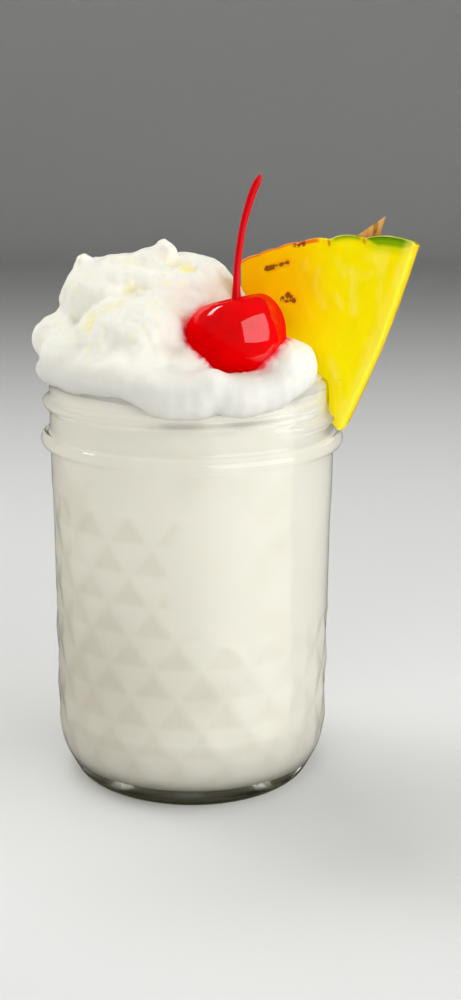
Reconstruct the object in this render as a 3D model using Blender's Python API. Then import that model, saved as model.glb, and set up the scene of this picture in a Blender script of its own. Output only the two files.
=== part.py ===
"""A creamy iced drink in a quilted glass jar, with whipped cream, a cherry and a pineapple wedge.

The jar stands on z = 0 with its axis on the Z axis, and the front of the drink faces -Y.
Azimuths are in degrees round the jar, from the front (-Y) towards +X.
"""

import math

import bmesh
import bpy
from mathutils import Matrix, Vector, noise

MM = 0.001
GAP = 0.3 * MM

# Glass jar, outside
BASE_RADIUS = 28.05 * MM
BASE_ROUNDING = 0.7 * MM
FOOT_HEIGHTS = (0.3 * MM, 2.6 * MM)
HEEL_HEIGHT = 12.9 * MM
BODY_LOW_RADIUS = 32.75 * MM
BODY_TOP_RADIUS = 33.1 * MM
BODY_TOP = 79.9 * MM
BEAD_RADIUS = 35.3 * MM
BEAD_MIDDLE = 81.9 * MM
BEAD_HEIGHT = 3.6 * MM
NECK_RADIUS = 33.2 * MM
NECK_FOOT = 84.4 * MM
RIM_START = 96.1 * MM
RIM_TOP = 97.4 * MM

# Glass jar, inside
INNER_NECK_RADIUS = 30.3 * MM
INNER_BODY_RADIUS = 30.4 * MM
INNER_SHOULDER = 80.0 * MM
INNER_HEEL_TOP = 17.0 * MM
INNER_FLOOR = 4.3 * MM
INNER_FLOOR_RADIUS = 21.5 * MM

# Pressed diamonds and the bare panels between them
QUILT_TURN = -6.5
DIAMONDS_ROUND = 18
DIAMOND_HEIGHT = 14.4 * MM
DIAMOND_DEPTH = 0.5 * MM
QUILT_TOP = 70.95 * MM
QUILT_FULL_FROM = 13.35 * MM
QUILT_BOTTOM = 6.15 * MM
QUILT_EDGE = 0.8 * MM
PANEL_AZIMUTHS = (45.0, 225.0)
PANEL_HALF_TURN = 55.0
PANEL_MIDDLE = 54.2 * MM
PANEL_HALF_HEIGHT = 14.5 * MM
PANEL_SQUARENESS = 3.5
PANEL_LEVEL = 0.5
COLUMNS = 4 * DIAMONDS_ROUND
ROWS_PER_DIAMOND = 4

# Screw thread on the neck
THREAD_RADIUS = 34.8 * MM
THREAD_HEIGHT = 2.7 * MM
THREAD_LEAD = 3.8 * MM
THREAD_MIDDLE = 91.6 * MM
THREAD_START = -328.0
THREAD_END = 66.0
THREAD_TAPER = 14.0
THREAD_STEP = 8.0
THREAD_ROOT = 31.5 * MM
THREAD_FLANK = 0.9 * MM
THREAD_SINK = 0.3 * MM

# Drink
DRINK_LEVEL = 95.0 * MM

# Whipped cream
COLLAR_STEPS = 48
COLLAR_FROM = 94.0
COLLAR_TO = 410.0
COLLAR_TAPER = 14.0
COLLAR_RADIUS = 30.3 * MM
COLLAR_LOBE = (4.6 * MM, 6.0 * MM, 5.2 * MM)
COLLAR_EDGE = 97.6 * MM
COLLAR_DROOP = 4.0 * MM
COLLAR_DROOP_FROM = (-31.0, -8.0)
COLLAR_DROOP_TO = (20.0, 58.0)
COLLAR_NOTCH = 1.5 * MM
COLLAR_NOTCH_AZIMUTH = 8.0
COLLAR_NOTCH_WIDTH = 4.0
COLLAR_LEFT = 1.6 * MM
COLLAR_LEFT_AZIMUTH = -93.0
COLLAR_LEFT_WIDTH = 25.0
COLLAR_UNEVEN = 0.8 * MM
COLLAR_UNEVEN_SIZE = 0.12
COLLAR_UNEVEN_SCALE = 4.0
COLLAR_END_SIZE = 0.7
# Each spoonful of the heap: its place and its half sizes in millimetres
DOLLOPS = (
    ((0.0, 0.0, 96.5), (32.2, 32.2, 5.5)),
    ((-9.0, 6.0, 103.0), (22.0, 23.0, 20.5)),
    ((-26.5, -1.0, 104.8), (10.8, 12.0, 6.8)),
    ((-19.5, 1.0, 113.5), (11.3, 13.0, 9.6)),
    ((-24.2, 0.0, 120.0), (2.6, 3.0, 4.4)),
    ((-14.0, 3.0, 116.2), (12.0, 13.0, 8.0)),
    ((-10.0, 1.0, 119.4), (6.4, 6.4, 6.2)),
    ((-6.1, 0.0, 123.9), (2.7, 3.0, 4.0)),
    ((-0.6, 5.0, 107.8), (13.6, 15.0, 16.0)),
    ((8.0, 3.0, 104.5), (8.5, 10.0, 10.0)),
    ((19.3, -18.0, 100.7), (8.3, 9.0, 7.2)),
    ((-13.0, -17.0, 101.0), (14.0, 13.0, 8.6)),
    ((-24.0, -11.0, 102.6), (10.3, 12.0, 6.6)),
    ((-13.0, -13.0, 106.0), (14.0, 13.0, 10.0)),
    ((-4.0, -24.0, 97.0), (13.0, 9.0, 5.6)),
    ((-2.5, -22.0, 100.5), (7.0, 7.0, 5.2)),
    ((12.0, 14.0, 102.0), (15.0, 14.0, 10.0)),
    ((-14.0, 18.0, 103.0), (15.0, 12.0, 9.0)),
)
CREAM_VOXEL = 1.25 * MM
CREAM_TRIANGLES = 3600
CRUMB_SIZE = 5.2 * MM
CRUMB_DEPTH = 0.9 * MM
FINE_CRUMB_SIZE = 2.4 * MM
FINE_CRUMB_DEPTH = 0.3 * MM
ROUGH_HEIGHTS = (101.0 * MM, 109.0 * MM)
ROUGH_SIDE = (-4.0 * MM, 8.0 * MM)

# Cherry and its stem
CHERRY_PLACE = Vector((9.7 * MM, -17.2 * MM, 107.45 * MM))
CHERRY_RADIUS = 11.05 * MM
CHERRY_HALF_HEIGHT = 10.35 * MM
CHERRY_DIMPLE = 0.36
CHERRY_DIMPLE_WIDTH = 0.41
CHERRY_LEAN = (math.radians(-4.0), math.radians(-4.5))
CHERRY_SHOULDER = 0.16
STEM_FOOT_RADIUS = 1.15 * MM
STEM_RADIUS = 0.75 * MM
STEM_BEND = 2.6
STEM_TIP = Vector((14.7 * MM, -14.0 * MM, 142.0 * MM))
STEM_STEPS = 14
STEM_CLEAR = 0.8 * MM
STEM_ASIDE = 0.45 * MM

# Pineapple wedge: s is measured outwards from the jar's axis, z up
WEDGE_AZIMUTH = 74.0
WEDGE_SET_BACK = 1.0 * MM
WEDGE_THICKNESS = 8.0 * MM
WEDGE_TIP = (35.5 * MM, 86.2 * MM)
WEDGE_TIP_RADIUS = 1.0 * MM
WEDGE_CORNER = (13.7 * MM, 117.2 * MM)
WEDGE_CORNER_RADIUS = 1.5 * MM
WEDGE_LEFT_FACING = 217.0
WEDGE_SIDE_BULGE = 0.9 * MM
WEDGE_SIDE_STEPS = 6
RIND_CENTRE = (40.2 * MM, 64.5 * MM)
RIND_RADIUS = 64.9 * MM
RIND_RIGHT = 10.0
RIND_LEFT = -25.6
RIND_STEPS = 30
EYE_NARROWING = (0.1208, -0.00282)
EYE_HEIGHT = 0.9 * MM
LEFT_EYES = 0.3
LEFT_EYES_FROM = (-8.5, -12.0)
RIND_FALL = 0.85 * MM
BRACT_FOOT = (40.5 * MM, 127.9 * MM)
BRACT_RISE = (3.8 * MM, 5.3 * MM)
BRACT_HALF_WIDTH = 2.7 * MM
BRACT_HALF_THICKNESS = 0.5 * MM
BRACT_FORWARD = 0.8 * MM
BRACT_POINT = 0.2 * MM


def clear_scene():
    """Empty the scene."""
    for obj in list(bpy.data.objects):
        bpy.data.objects.remove(obj)


def material(name, colour, roughness, metallic=0.0, transmission=0.0):
    """A plain material in the part's colour."""
    made = bpy.data.materials.new(name)
    made.use_nodes = True
    made.diffuse_color = (*colour, 1.0)
    shader = made.node_tree.nodes["Principled BSDF"]
    shader.inputs["Base Color"].default_value = (*colour, 1.0)
    shader.inputs["Roughness"].default_value = roughness
    shader.inputs["Metallic"].default_value = metallic
    shader.inputs["Transmission Weight"].default_value = transmission
    return made


def finish(name, bm, surface=None):
    """Turn a bmesh into an object of that name, shaded smooth across its soft edges."""
    bmesh.ops.recalc_face_normals(bm, faces=bm.faces)
    mesh = bpy.data.meshes.new(name)
    bm.to_mesh(mesh)
    bm.free()
    mesh.shade_smooth()
    mesh.set_sharp_from_angle(angle=math.radians(35.0))
    obj = bpy.data.objects.new(name, mesh)
    bpy.context.scene.collection.objects.link(obj)
    if surface:
        mesh.materials.append(surface)
    return obj


def hide_cutter(obj):
    """Keep a cutter out of the model and draw it as wire."""
    obj.hide_render = True
    obj.display_type = "WIRE"


def boolean(obj, other, operation):
    """Cut an object with another, or join the other to it."""
    modifier = obj.modifiers.new(f"{operation.lower()} {other.name}", "BOOLEAN")
    modifier.operation = operation
    modifier.object = other
    return modifier


def apply_modifiers(obj):
    """Replace an object's mesh by what its modifiers make of it."""
    graph = bpy.context.evaluated_depsgraph_get()
    mesh = bpy.data.meshes.new_from_object(obj.evaluated_get(graph))
    obj.modifiers.clear()
    obj.data = mesh


def at_azimuth(radius, azimuth, height):
    """A point on a circle round the jar."""
    turn = math.radians(azimuth)
    return Vector((radius * math.sin(turn), -radius * math.cos(turn), height))


def smoothstep(low, high, value):
    """Rise from 0 to 1 between low and high."""
    t = min(max((value - low) / (high - low), 0.0), 1.0)
    return t * t * (3.0 - 2.0 * t)


def half_ellipse(centre, half_width, half_height, first, last, steps):
    """Points of an elliptical arc in the radius and height plane, by angle in degrees."""
    points = []
    for step in range(steps + 1):
        angle = math.radians(first + (last - first) * step / steps)
        points.append((centre[0] + half_width * math.cos(angle), centre[1] + half_height * math.sin(angle)))
    return points


def body_radius(height):
    """Outer radius of the jar's body, rounded in at the heel and slightly wider towards the top."""
    if height < HEEL_HEIGHT:
        rise = math.sin(0.5 * math.pi * height / HEEL_HEIGHT)
        return BASE_RADIUS + (BODY_LOW_RADIUS - BASE_RADIUS) * rise
    part = (height - HEEL_HEIGHT) / (BODY_TOP - HEEL_HEIGHT)
    return BODY_LOW_RADIUS + (BODY_TOP_RADIUS - BODY_LOW_RADIUS) * part


def diamond_steps(azimuth, height):
    """Steps across the two sets of diagonals: both odd at a diamond's middle, both even at its corners."""
    across = (azimuth - QUILT_TURN) * DIAMONDS_ROUND / 180.0
    up = (height - QUILT_TOP) / (DIAMOND_HEIGHT / 2)
    return across + up, across - up


def diamond_height(azimuth, height):
    """1 at a diamond's raised middle, 0 in the grooves round it, with four flat facets between."""
    rising, falling = diamond_steps(azimuth, height)
    return 1.0 - max(abs(rising % 2.0 - 1.0), abs(falling % 2.0 - 1.0))


def panel_cover(azimuth, height):
    """1 on the bare panels, 0 on the quilting."""
    cover = 0.0
    for middle in PANEL_AZIMUTHS:
        turn = abs((azimuth - middle + 180.0) % 360.0 - 180.0) / PANEL_HALF_TURN
        rise = abs(height - PANEL_MIDDLE) / PANEL_HALF_HEIGHT
        edge = (turn**PANEL_SQUARENESS + rise**PANEL_SQUARENESS) ** (1.0 / PANEL_SQUARENESS)
        cover = max(cover, 1.0 - smoothstep(0.94, 1.04, edge))
    return cover


def quilted_radius(azimuth, height):
    """Outer radius of the quilted band."""
    fade = smoothstep(QUILT_BOTTOM, QUILT_FULL_FROM, height)
    cover = panel_cover(azimuth, height)
    level = (1.0 - cover) * diamond_height(azimuth, height) + cover * PANEL_LEVEL
    return body_radius(height) - DIAMOND_DEPTH * fade * (1.0 - level)


def ring(bm, radius, height, columns):
    """A row of vertices round the jar's axis."""
    turns = [QUILT_TURN + 360.0 * column / columns for column in range(columns)]
    return [bm.verts.new(at_azimuth(radius, turn, height)) for turn in turns]


def quilted_ring(bm, height):
    """A row of vertices that follows the diamonds."""
    turns = [QUILT_TURN + 360.0 * column / COLUMNS for column in range(COLUMNS)]
    return [bm.verts.new(at_azimuth(quilted_radius(turn, height), turn, height)) for turn in turns]


def join_rings(bm, lower, upper):
    """Faces between two rows, of equal counts or one with twice the vertices of the other."""
    if len(lower) == len(upper):
        for i in range(len(lower)):
            j = (i + 1) % len(lower)
            bm.faces.new((lower[i], lower[j], upper[j], upper[i]))
        return
    coarse, fine = (lower, upper) if len(lower) < len(upper) else (upper, lower)
    for i in range(len(coarse)):
        j = (i + 1) % len(coarse)
        middle = fine[2 * i + 1]
        bm.faces.new((coarse[i], middle, fine[2 * i]))
        bm.faces.new((coarse[i], coarse[j], middle))
        bm.faces.new((coarse[j], fine[(2 * i + 2) % len(fine)], middle))


def join_quilted_rings(bm, lower, upper, low_height, high_height):
    """Triangles between two quilted rows, split along the grooves."""
    for i in range(COLUMNS):
        j = (i + 1) % COLUMNS
        azimuth = QUILT_TURN + 360.0 * (i + 0.5) / COLUMNS
        rising, falling = diamond_steps(azimuth, (low_height + high_height) / 2)
        if abs(rising % 2.0 - 1.0) > abs(falling % 2.0 - 1.0):
            bm.faces.new((lower[i], lower[j], upper[i]))
            bm.faces.new((lower[j], upper[j], upper[i]))
        else:
            bm.faces.new((lower[i], lower[j], upper[j]))
            bm.faces.new((lower[i], upper[j], upper[i]))


def close_ring(bm, row, height):
    """A fan from a row to a vertex on the axis."""
    centre = bm.verts.new((0.0, 0.0, height))
    for i in range(len(row)):
        bm.faces.new((row[i], row[(i + 1) % len(row)], centre))


def quilt_heights():
    """Heights of the quilted rows, from the heel up."""
    step = DIAMOND_HEIGHT / ROWS_PER_DIAMOND
    count = round((QUILT_TOP - QUILT_BOTTOM) / step)
    return [QUILT_TOP - step * row for row in range(count, -1, -1)]


def bead_outline(clearance=0.0):
    """The rounded bead under the neck, from its foot up."""
    half = BEAD_HEIGHT / 2 + clearance
    reach = BEAD_RADIUS - NECK_RADIUS + clearance
    return half_ellipse((NECK_RADIUS, BEAD_MIDDLE), reach, half, -80.0, 80.0, 6)


def rim_outline(clearance=0.0):
    """The rounded lip, from its outer side over to its inner side."""
    middle = (NECK_RADIUS + INNER_NECK_RADIUS) / 2
    half_width = (NECK_RADIUS - INNER_NECK_RADIUS) / 2 + clearance
    return half_ellipse((middle, RIM_START), half_width, RIM_TOP - RIM_START + clearance, 0.0, 180.0, 6)


def inner_heel_outline(clearance=0.0):
    """The hollow's rounded lower corner, from the wall down to the flat floor."""
    half_width = INNER_BODY_RADIUS - INNER_FLOOR_RADIUS - clearance
    half_height = INNER_HEEL_TOP - INNER_FLOOR - clearance
    return half_ellipse((INNER_FLOOR_RADIUS, INNER_HEEL_TOP), half_width, half_height, 0.0, -90.0, 6)


def jar_body():
    """The turned and quilted glass, without its thread."""
    bm = bmesh.new()
    rows = [ring(bm, BASE_RADIUS - BASE_ROUNDING, 0.0, COLUMNS // 2)]
    close_ring(bm, rows[0], 0.0)
    for height in FOOT_HEIGHTS:
        rows.append(ring(bm, body_radius(height), height, COLUMNS // 2))
    for low, high in zip(rows, rows[1:]):
        join_rings(bm, low, high)
    heights = quilt_heights()
    quilted = [quilted_ring(bm, height) for height in heights]
    join_rings(bm, rows[-1], quilted[0])
    for i in range(len(heights) - 1):
        join_quilted_rings(bm, quilted[i], quilted[i + 1], heights[i], heights[i + 1])
    outline = [(body_radius(QUILT_TOP + QUILT_EDGE), QUILT_TOP + QUILT_EDGE)]
    outline.append((BODY_TOP_RADIUS, BODY_TOP - 0.3 * MM))
    outline += bead_outline()
    outline.append((NECK_RADIUS, NECK_FOOT))
    outline += rim_outline()
    row = quilted[-1]
    for radius, height in outline:
        above = ring(bm, radius, height, COLUMNS)
        join_rings(bm, row, above)
        row = above
    for radius, height in [(INNER_BODY_RADIUS, INNER_SHOULDER)] + inner_heel_outline():
        below = ring(bm, radius, height, COLUMNS // 2)
        join_rings(bm, row, below)
        row = below
    close_ring(bm, row, INNER_FLOOR)
    return bm


def thread_ridge(clearance=0.0):
    """The screw thread: a rounded ridge that climbs round the neck and thins out at both ends."""
    bm = bmesh.new()
    steps = round((THREAD_END - THREAD_START) / THREAD_STEP)
    rows = []
    for step in range(steps + 1):
        azimuth = THREAD_START + (THREAD_END - THREAD_START) * step / steps
        full = smoothstep(0.0, THREAD_TAPER, min(azimuth - THREAD_START, THREAD_END - azimuth) + 3.0)
        crest = NECK_RADIUS - THREAD_SINK + (THREAD_RADIUS - NECK_RADIUS + THREAD_SINK) * full + clearance
        half = THREAD_HEIGHT / 2 * (0.5 + 0.5 * full) + clearance
        middle = THREAD_MIDDLE + THREAD_LEAD * azimuth / 360.0
        section = [(THREAD_ROOT, -half), (crest - THREAD_FLANK, -half), (crest, -0.35 * half)]
        section += [(crest, 0.35 * half), (crest - THREAD_FLANK, half), (THREAD_ROOT, half)]
        rows.append([bm.verts.new(at_azimuth(radius, azimuth, middle + rise)) for radius, rise in section])
    for low, high in zip(rows, rows[1:]):
        for i in range(len(low)):
            j = (i + 1) % len(low)
            bm.faces.new((low[i], low[j], high[j], high[i]))
    bm.faces.new(rows[0])
    bm.faces.new(rows[-1])
    return bm


def turned(outline, columns):
    """A solid turned from an outline that starts and ends on the axis."""
    bm = bmesh.new()
    rows = [ring(bm, radius, height, columns) for radius, height in outline[1:-1]]
    for low, high in zip(rows, rows[1:]):
        join_rings(bm, low, high)
    close_ring(bm, rows[0], outline[0][1])
    close_ring(bm, rows[-1], outline[-1][1])
    return bm


def build_jar():
    """The glass jar with its thread."""
    glass = material("jar_glass", (0.93, 0.95, 0.92), 0.03, transmission=1.0)
    jar = finish("jar", jar_body(), glass)
    thread = finish("thread_union", thread_ridge())
    hide_cutter(thread)
    boolean(jar, thread, "UNION")
    return jar


def build_drink(wedge_space):
    """The drink, which fills the hollow up to just under the rim."""
    outline = [(0.0, DRINK_LEVEL), (INNER_NECK_RADIUS - GAP, DRINK_LEVEL)]
    outline.append((INNER_BODY_RADIUS - GAP, INNER_SHOULDER))
    outline += inner_heel_outline(GAP)
    outline.append((0.0, INNER_FLOOR + GAP))
    milky = material("creamy_drink", (0.85, 0.81, 0.68), 0.4)
    drink = finish("drink", turned(outline, COLUMNS // 2), milky)
    boolean(drink, wedge_space, "DIFFERENCE")
    return drink


def glass_space():
    """What the glass and the drink take up under the cream, with a gap round them."""
    outline = [(0.0, DRINK_LEVEL + GAP), (INNER_NECK_RADIUS - GAP, DRINK_LEVEL + GAP)]
    outline += reversed(rim_outline(GAP))
    outline += reversed(bead_outline(GAP))
    outline.append((NECK_RADIUS, BODY_TOP - GAP))
    outline.append((0.0, BODY_TOP - GAP))
    return finish("glass_space", turned(outline, COLUMNS))


def cherry_shape(clearance=0.0):
    """A sphere with a dimple for the stem, higher at its right shoulder, leant towards the back left."""
    bm = bmesh.new()
    bmesh.ops.create_uvsphere(bm, u_segments=26, v_segments=15, radius=1.0)
    for vert in bm.verts:
        slope = math.acos(min(max(vert.co.z, -1.0), 1.0))
        dimple = CHERRY_DIMPLE * math.exp(-((slope / CHERRY_DIMPLE_WIDTH) ** 2))
        broad = 1.0 + 0.06 * math.sin(slope) * math.cos(slope)
        uneven = CHERRY_SHOULDER * vert.co.x * max(vert.co.z, 0.0)
        vert.co.x *= (CHERRY_RADIUS + clearance) * broad
        vert.co.y *= (CHERRY_RADIUS + clearance) * broad
        vert.co.z = (vert.co.z - dimple + uneven) * CHERRY_HALF_HEIGHT + clearance * vert.co.z
    lean = Matrix.Rotation(CHERRY_LEAN[1], 4, "Y") @ Matrix.Rotation(CHERRY_LEAN[0], 4, "X")
    bm.transform(Matrix.Translation(CHERRY_PLACE) @ lean)
    return bm


def dimple_point():
    """The bottom of the cherry's dimple."""
    lean = Matrix.Rotation(CHERRY_LEAN[1], 3, "Y") @ Matrix.Rotation(CHERRY_LEAN[0], 3, "X")
    return CHERRY_PLACE + lean @ Vector((0.0, 0.0, (1.0 - CHERRY_DIMPLE) * CHERRY_HALF_HEIGHT))


def build_cherry():
    """The cherry."""
    return finish("cherry", cherry_shape(), material("cherry_skin", (0.72, 0.0, 0.01), 0.12))


def build_stem():
    """The stem: a thin round stalk that stands in the dimple and bends over towards its tip."""
    foot = dimple_point() + Vector((STEM_ASIDE, 0.0, STEM_CLEAR))
    rise = STEM_TIP - foot
    curve = bpy.data.curves.new("cherry_stem", "CURVE")
    curve.dimensions = "3D"
    curve.bevel_depth = STEM_RADIUS
    curve.bevel_resolution = 3
    curve.use_fill_caps = True
    spline = curve.splines.new("POLY")
    spline.points.add(STEM_STEPS)
    for step in range(STEM_STEPS + 1):
        t = step / STEM_STEPS
        point = foot + Vector((rise.x * t**STEM_BEND, rise.y * t, rise.z * t))
        spline.points[step].co = (*point, 1.0)
        flare = (STEM_FOOT_RADIUS / STEM_RADIUS - 1.0) * (1.0 - smoothstep(0.0, 0.3, t))
        spline.points[step].radius = 1.0 + flare - 0.25 * smoothstep(0.85, 1.0, t)
    stem = bpy.data.objects.new("cherry_stem", curve)
    bpy.context.scene.collection.objects.link(stem)
    curve.materials.append(material("stem_skin", (0.6, 0.0, 0.01), 0.25))
    return stem


def rind_point(turn, depth, grow):
    """A point of the rind, (s, z), raised over each eye, hardly at the left, and lower towards the back."""
    linear, square = EYE_NARROWING
    eye = abs(math.sin(math.pi * (linear * turn + square * turn * turn))) ** 0.6
    eye = 1.0 - (1.0 - eye) * (1.0 - (1.0 - LEFT_EYES) * smoothstep(*LEFT_EYES_FROM, turn))
    corner = smoothstep(0.0, 1.2, RIND_RIGHT - turn)
    fall = RIND_FALL * (depth / WEDGE_THICKNESS + 0.5)
    radius = RIND_RADIUS + EYE_HEIGHT * (eye * corner - 1.0) - fall + grow
    angle = math.radians(turn)
    return RIND_CENTRE[0] + radius * math.sin(angle), RIND_CENTRE[1] + radius * math.cos(angle)


def side_points(start, end, bulge, steps):
    """Points between the ends of a cut side that bows out a little."""
    across = Vector((end[1] - start[1], start[0] - end[0])).normalized()
    points = []
    for step in range(1, steps):
        t = step / steps
        out = bulge * math.sin(math.pi * t)
        points.append(
            (
                start[0] + (end[0] - start[0]) * t + across.x * out,
                start[1] + (end[1] - start[1]) * t + across.y * out,
            )
        )
    return points


def wedge_outline(depth, grow=0.0):
    """The wedge's outline as (s, z) points: round the tip, up the right side, along the rind, and down the
    left side by way of its trimmed corner."""
    tip_radius = WEDGE_TIP_RADIUS + grow
    tip = half_ellipse(WEDGE_TIP, tip_radius, tip_radius, WEDGE_LEFT_FACING, 340.0, 4)
    turns = [RIND_RIGHT + (RIND_LEFT - RIND_RIGHT) * step / RIND_STEPS for step in range(RIND_STEPS + 1)]
    rind = [rind_point(turn, depth, grow) for turn in turns]
    rind[0] = (rind[0][0] + grow, rind[0][1])
    rind[-1] = (rind[-1][0] - grow, rind[-1][1])
    right = side_points(tip[-1], rind[0], WEDGE_SIDE_BULGE, WEDGE_SIDE_STEPS)
    corner_radius = WEDGE_CORNER_RADIUS + grow
    corner = half_ellipse(WEDGE_CORNER, corner_radius, corner_radius, 180.0, WEDGE_LEFT_FACING, 2)
    left = side_points(corner[-1], tip[0], 0.0, WEDGE_SIDE_STEPS)
    return tip + right + rind + corner + left


def wedge_frame():
    """Turns (s, depth, z) of the wedge into the model's X, Y and Z."""
    turn = Matrix.Rotation(math.radians(WEDGE_AZIMUTH - 90.0), 4, "Z")
    return turn @ Matrix.Translation((0.0, WEDGE_SET_BACK, 0.0))


def wedge_shape(grow=0.0):
    """The pineapple slice's sector, with its rind's low eyes along the arc."""
    bm = bmesh.new()
    rows = []
    for part in (-1.0, -0.5, 0.0, 0.5, 1.0):
        depth = part * WEDGE_THICKNESS / 2
        outline = wedge_outline(depth, grow)
        place = depth + math.copysign(grow, part) * (part != 0.0)
        rows.append([bm.verts.new((s, place, z)) for s, z in outline])
    for near, far in zip(rows, rows[1:]):
        for i in range(len(near)):
            j = (i + 1) % len(near)
            bm.faces.new((near[i], near[j], far[j], far[i]))
    bm.faces.new(rows[0])
    bm.faces.new(rows[-1])
    bm.transform(wedge_frame())
    return bm


def bract_shape():
    """The small dry leaf on the rind: a thin blade that narrows and leans over to its point."""
    bm = bmesh.new()
    steps = 5
    rows = []
    for step in range(steps + 1):
        t = step / steps
        half = BRACT_HALF_WIDTH * (1.0 - t) ** 1.5 + BRACT_POINT
        thick = BRACT_HALF_THICKNESS * (1.0 - 0.5 * t)
        s = BRACT_FOOT[0] + BRACT_RISE[0] * t**1.4
        z = BRACT_FOOT[1] + BRACT_RISE[1] * t
        corners = [(-half, -thick), (0.0, -1.8 * thick), (half, -thick)]
        corners += [(half, thick), (0.0, 0.2 * thick), (-half, thick)]
        rows.append([bm.verts.new((s + x, y - BRACT_FORWARD, z)) for x, y in corners])
    for low, high in zip(rows, rows[1:]):
        for i in range(6):
            j = (i + 1) % 6
            bm.faces.new((low[i], low[j], high[j], high[i]))
    bm.faces.new(rows[0])
    bm.faces.new(rows[-1])
    bm.transform(wedge_frame())
    return bm


def build_wedge(glass, thread):
    """The pineapple wedge, slotted over the rim."""
    wedge = finish("pineapple_wedge", wedge_shape(), material("pineapple", (1.0, 0.68, 0.01), 0.35))
    bract = finish("bract_union", bract_shape())
    hide_cutter(bract)
    boolean(wedge, bract, "UNION")
    boolean(wedge, glass, "DIFFERENCE")
    boolean(wedge, thread, "DIFFERENCE")
    return wedge


def rim_slot():
    """What the glass wall takes up where the wedge stands over it, with a gap round it."""
    outline = [(0.0, BODY_TOP - GAP), (INNER_BODY_RADIUS - GAP, BODY_TOP - GAP)]
    outline.append((INNER_NECK_RADIUS - GAP, INNER_SHOULDER + 4.0 * MM))
    inner = len(outline)
    outline += reversed(rim_outline(GAP))
    outline += reversed(bead_outline(GAP))
    outline.append((NECK_RADIUS, BODY_TOP - GAP))
    bm = bmesh.new()
    rows = [ring(bm, radius, height, COLUMNS) for radius, height in outline[inner - 2 :]]
    for low, high in zip(rows, rows[1:] + rows[:1]):
        join_rings(bm, low, high)
    return finish("rim_slot", bm)


def dollop(bm, place, radii):
    """One ellipsoid of cream, its place and half sizes in millimetres."""
    made = bmesh.ops.create_icosphere(bm, subdivisions=3, radius=1.0)
    for vert in made["verts"]:
        vert.co = Vector([(c * r + p) * MM for c, r, p in zip(vert.co, radii, place)])


def near_azimuth(azimuth, middle, width):
    """1 at an azimuth, falling off smoothly to both sides of it."""
    apart = (azimuth - middle + 180.0) % 360.0 - 180.0
    return math.exp(-((apart / width) ** 2))


def collar_edge(azimuth):
    """Height of the band's lower edge: it hangs in two lobes at the front, and a little at the left."""
    droop = smoothstep(*COLLAR_DROOP_FROM, azimuth) * (1.0 - smoothstep(*COLLAR_DROOP_TO, azimuth))
    notch = near_azimuth(azimuth, COLLAR_NOTCH_AZIMUTH, COLLAR_NOTCH_WIDTH)
    left = near_azimuth(azimuth, COLLAR_LEFT_AZIMUTH, COLLAR_LEFT_WIDTH)
    return COLLAR_EDGE - COLLAR_DROOP * droop + COLLAR_NOTCH * notch - COLLAR_LEFT * left


def collar_lobes(bm):
    """The band that lies over the rim all round, and stops short of the wedge on both its sides."""
    for step in range(COLLAR_STEPS + 1):
        along = COLLAR_FROM + (COLLAR_TO - COLLAR_FROM) * step / COLLAR_STEPS
        azimuth = (along + 180.0) % 360.0 - 180.0
        uneven = noise.noise(at_azimuth(COLLAR_UNEVEN_SCALE, azimuth, 0.0))
        full = smoothstep(0.0, COLLAR_TAPER, min(along - COLLAR_FROM, COLLAR_TO - along))
        size = (COLLAR_END_SIZE + (1.0 - COLLAR_END_SIZE) * full) * (1.0 + COLLAR_UNEVEN_SIZE * uneven)
        across, reach, tall = (side * size for side in COLLAR_LOBE)
        tall -= COLLAR_LEFT * near_azimuth(azimuth, COLLAR_LEFT_AZIMUTH, COLLAR_LEFT_WIDTH)
        height = collar_edge(azimuth) + 0.5 * tall - COLLAR_UNEVEN * uneven
        made = bmesh.ops.create_icosphere(bm, subdivisions=3, radius=1.0)
        turn = Matrix.Rotation(math.radians(azimuth), 4, "Z")
        place = Matrix.Translation(at_azimuth(COLLAR_RADIUS, azimuth, height))
        scale = Matrix.Diagonal((across, reach, tall, 1.0))
        bmesh.ops.transform(bm, matrix=place @ turn @ scale, verts=made["verts"])


def crumble(mesh):
    """Roughen the upper part of the cream into crumbs and folds. The band over the rim stays smoother."""
    normals = [vert.normal.copy() for vert in mesh.vertices]
    for vert, normal in zip(mesh.vertices, normals):
        rough = smoothstep(*ROUGH_HEIGHTS, vert.co.z)
        rough *= 1.0 - 0.6 * smoothstep(*ROUGH_SIDE, vert.co.x)
        coarse = noise.noise(vert.co / CRUMB_SIZE) * CRUMB_DEPTH * (0.25 + 0.75 * rough)
        fine = noise.noise(vert.co / FINE_CRUMB_SIZE) * FINE_CRUMB_DEPTH * (0.15 + 0.85 * rough)
        vert.co += normal * (coarse + fine)


def keep_largest_body(obj):
    """Drop the loose scraps that the cuts leave."""
    bm = bmesh.new()
    bm.from_mesh(obj.data)
    left = set(bm.verts)
    bodies = []
    while left:
        body = {left.pop()}
        edge = list(body)
        while edge:
            vert = edge.pop()
            near = {link.other_vert(vert) for link in vert.link_edges} - body
            body |= near
            edge += near
        left -= body
        bodies.append(body)
    largest = max(bodies, key=len)
    bmesh.ops.delete(bm, geom=[vert for vert in bm.verts if vert not in largest], context="VERTS")
    bm.to_mesh(obj.data)
    bm.free()


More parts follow.
